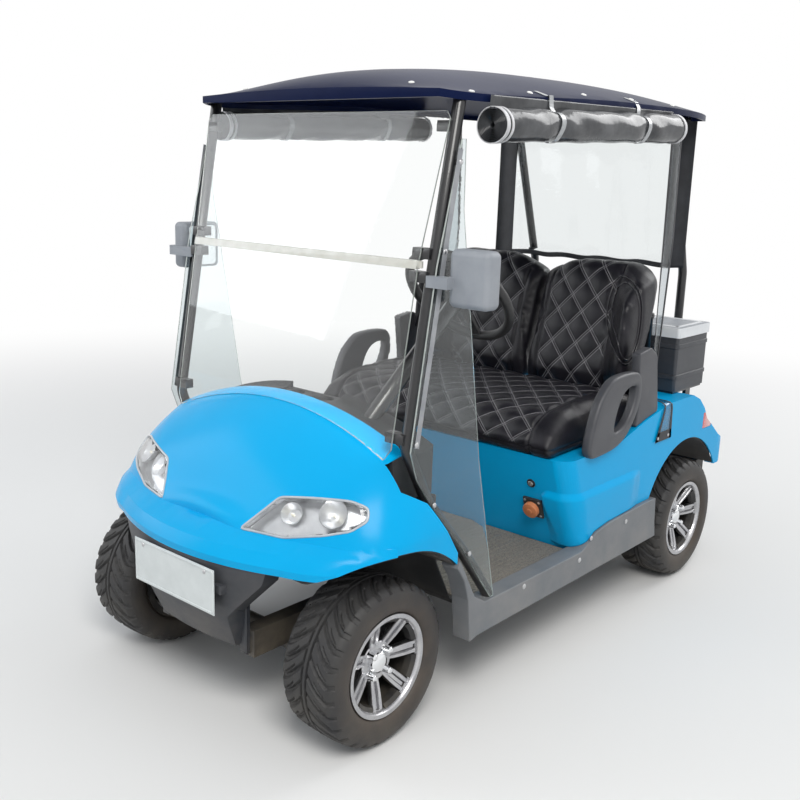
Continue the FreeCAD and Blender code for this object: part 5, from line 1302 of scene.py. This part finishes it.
def bench_lattice(points, normals):
    """Diamonds over the bench's top and front, between its plain outer bolsters."""
    across, run = points[:, 0] / DIAMOND_WIDE, -(points[:, 1] + points[:, 2]) / DIAMOND_HIGH
    shown = smooth_step(0.425, 0.412, np.abs(points[:, 0])) * smooth_step(0.660, 0.690, points[:, 2])
    shown = shown * smooth_step(-0.25, 0.05, normals[:, 2] - 0.2 * normals[:, 1])
    return across + run, across - run, shown


def bench_channels(points):
    """Sewn channels beside the bolsters and round the cushion's lower front."""
    edge = np.abs(points[:, 0])
    return [(0.006, 0.006, edge - 0.425), (0.004, 0.005, points[:, 2] - 0.664)]


def back_lattice(points, normals):
    """Diamonds over the front of each backrest, between the plain strip at the gap and the bolster."""
    edge = np.abs(points[:, 0])
    across = (edge - 0.060) / DIAMOND_WIDE
    run = (points[:, 2] + 0.3 * points[:, 1]) / DIAMOND_HIGH
    shown = smooth_step(0.058, 0.066, edge) * smooth_step(0.348, 0.336, edge)
    shown = shown * smooth_step(0.25, -0.05, normals[:, 1])
    return across + run, across - run, shown


WING_MIDDLE, WING_HALF = np.array((0.430, 0.460, 1.020)), (0.053, 0.145)


def back_channels(points):
    """Upright channels beside the quilted field and an oval one round the panel on the bolster's wing."""
    edge = np.abs(points[:, 0])
    beside = 0.8 * (edge - WING_MIDDLE[0]) + 0.6 * (points[:, 1] - WING_MIDDLE[1])
    oval = np.hypot(beside / WING_HALF[0], (points[:, 2] - WING_MIDDLE[2]) / WING_HALF[1]) - 1
    on_front = smooth_step(0.600, 0.560, points[:, 1])
    seams = np.minimum(np.abs(edge - 0.058), np.abs(edge - 0.350))
    return [(0.006, 0.006, np.where(on_front > 0.5, seams, 1.0)),
            (0.006, 0.008, np.where(on_front > 0.5, oval * WING_HALF[0], 1.0))]


def bench_cut(points):
    """The bench's top is full between its bolsters and falls away in a curve at the front and the ends."""
    x, y, z = points.T.copy()
    share = np.clip((z - 0.640) / 0.130, 0, 1)
    ends = 0.020 * np.clip((np.abs(x) - 0.455) / 0.065, 0, 1) ** 2
    front = 0.016 * np.clip((-0.075 - y) / 0.065, 0, 1) ** 2
    return np.stack([x, y, z - share * (ends + front)], -1)


def back_cut(points):
    """Each backrest's top falls in a curve to the gap between the two and to its outer shoulder."""
    x, y, z = points.T.copy()
    edge = np.abs(x)
    inner = 0.062 * np.clip((0.200 - edge) / 0.190, 0, 1) ** 2
    outer = 0.052 * np.clip((edge - 0.360) / 0.114, 0, 1) ** 2
    share = np.clip((z - 0.900) / 0.320, 0, 1)
    closer = 0.011 * smooth_step(0.090, 0.012, edge)
    return np.stack([x - np.sign(x) * closer, y, z - share * (inner + outer)], -1)


bench = stuffed("seat_cushion", "bench_cushion", 26, 0.014, bench_cut)
sewn(bench, "seat_cushion", bench_lattice, bench_channels, 0.010)
backs = stuffed("backrests", "seat_backrests", 22, 0.010, back_cut)
sewn(backs, "backrests", back_lattice, back_channels, 0.009)

# Piping: a round cord of plain black vinyl, sewn into the oval seam on each backrest's wing, with
# a second row inside it.
PIPING = finish("piping_vinyl", (0.014, 0.014, 0.018), (0.022, 0.021, 0.026), 0.24, 0.08, 30, 1300, 0.0002)
foam = solid_of(backs.data)
cords = []
for side in (-1, 1):
    way = np.array((-0.6 * side, 0.8, 0))
    level = np.array((0.8 * side, 0.6, 0))
    for share in (1.0, 0.76):
        turn = np.linspace(0, 2 * math.pi, 90, endpoint=False)[:, None]
        flat = WING_MIDDLE * (side, 1, 1) + level * WING_HALF[0] * share * np.cos(turn)
        aims = flat + np.array((0, 0, WING_HALF[1] * (share * 0.5 + 0.5))) * np.sin(turn) - way * 0.4
        line = np.array([struck(foam, aim, way) for aim in aims])
        cords.append(beading(line, 0.0030, -way, 0.0008))
piece("backrest_piping", cords, PIPING, sharp=60)
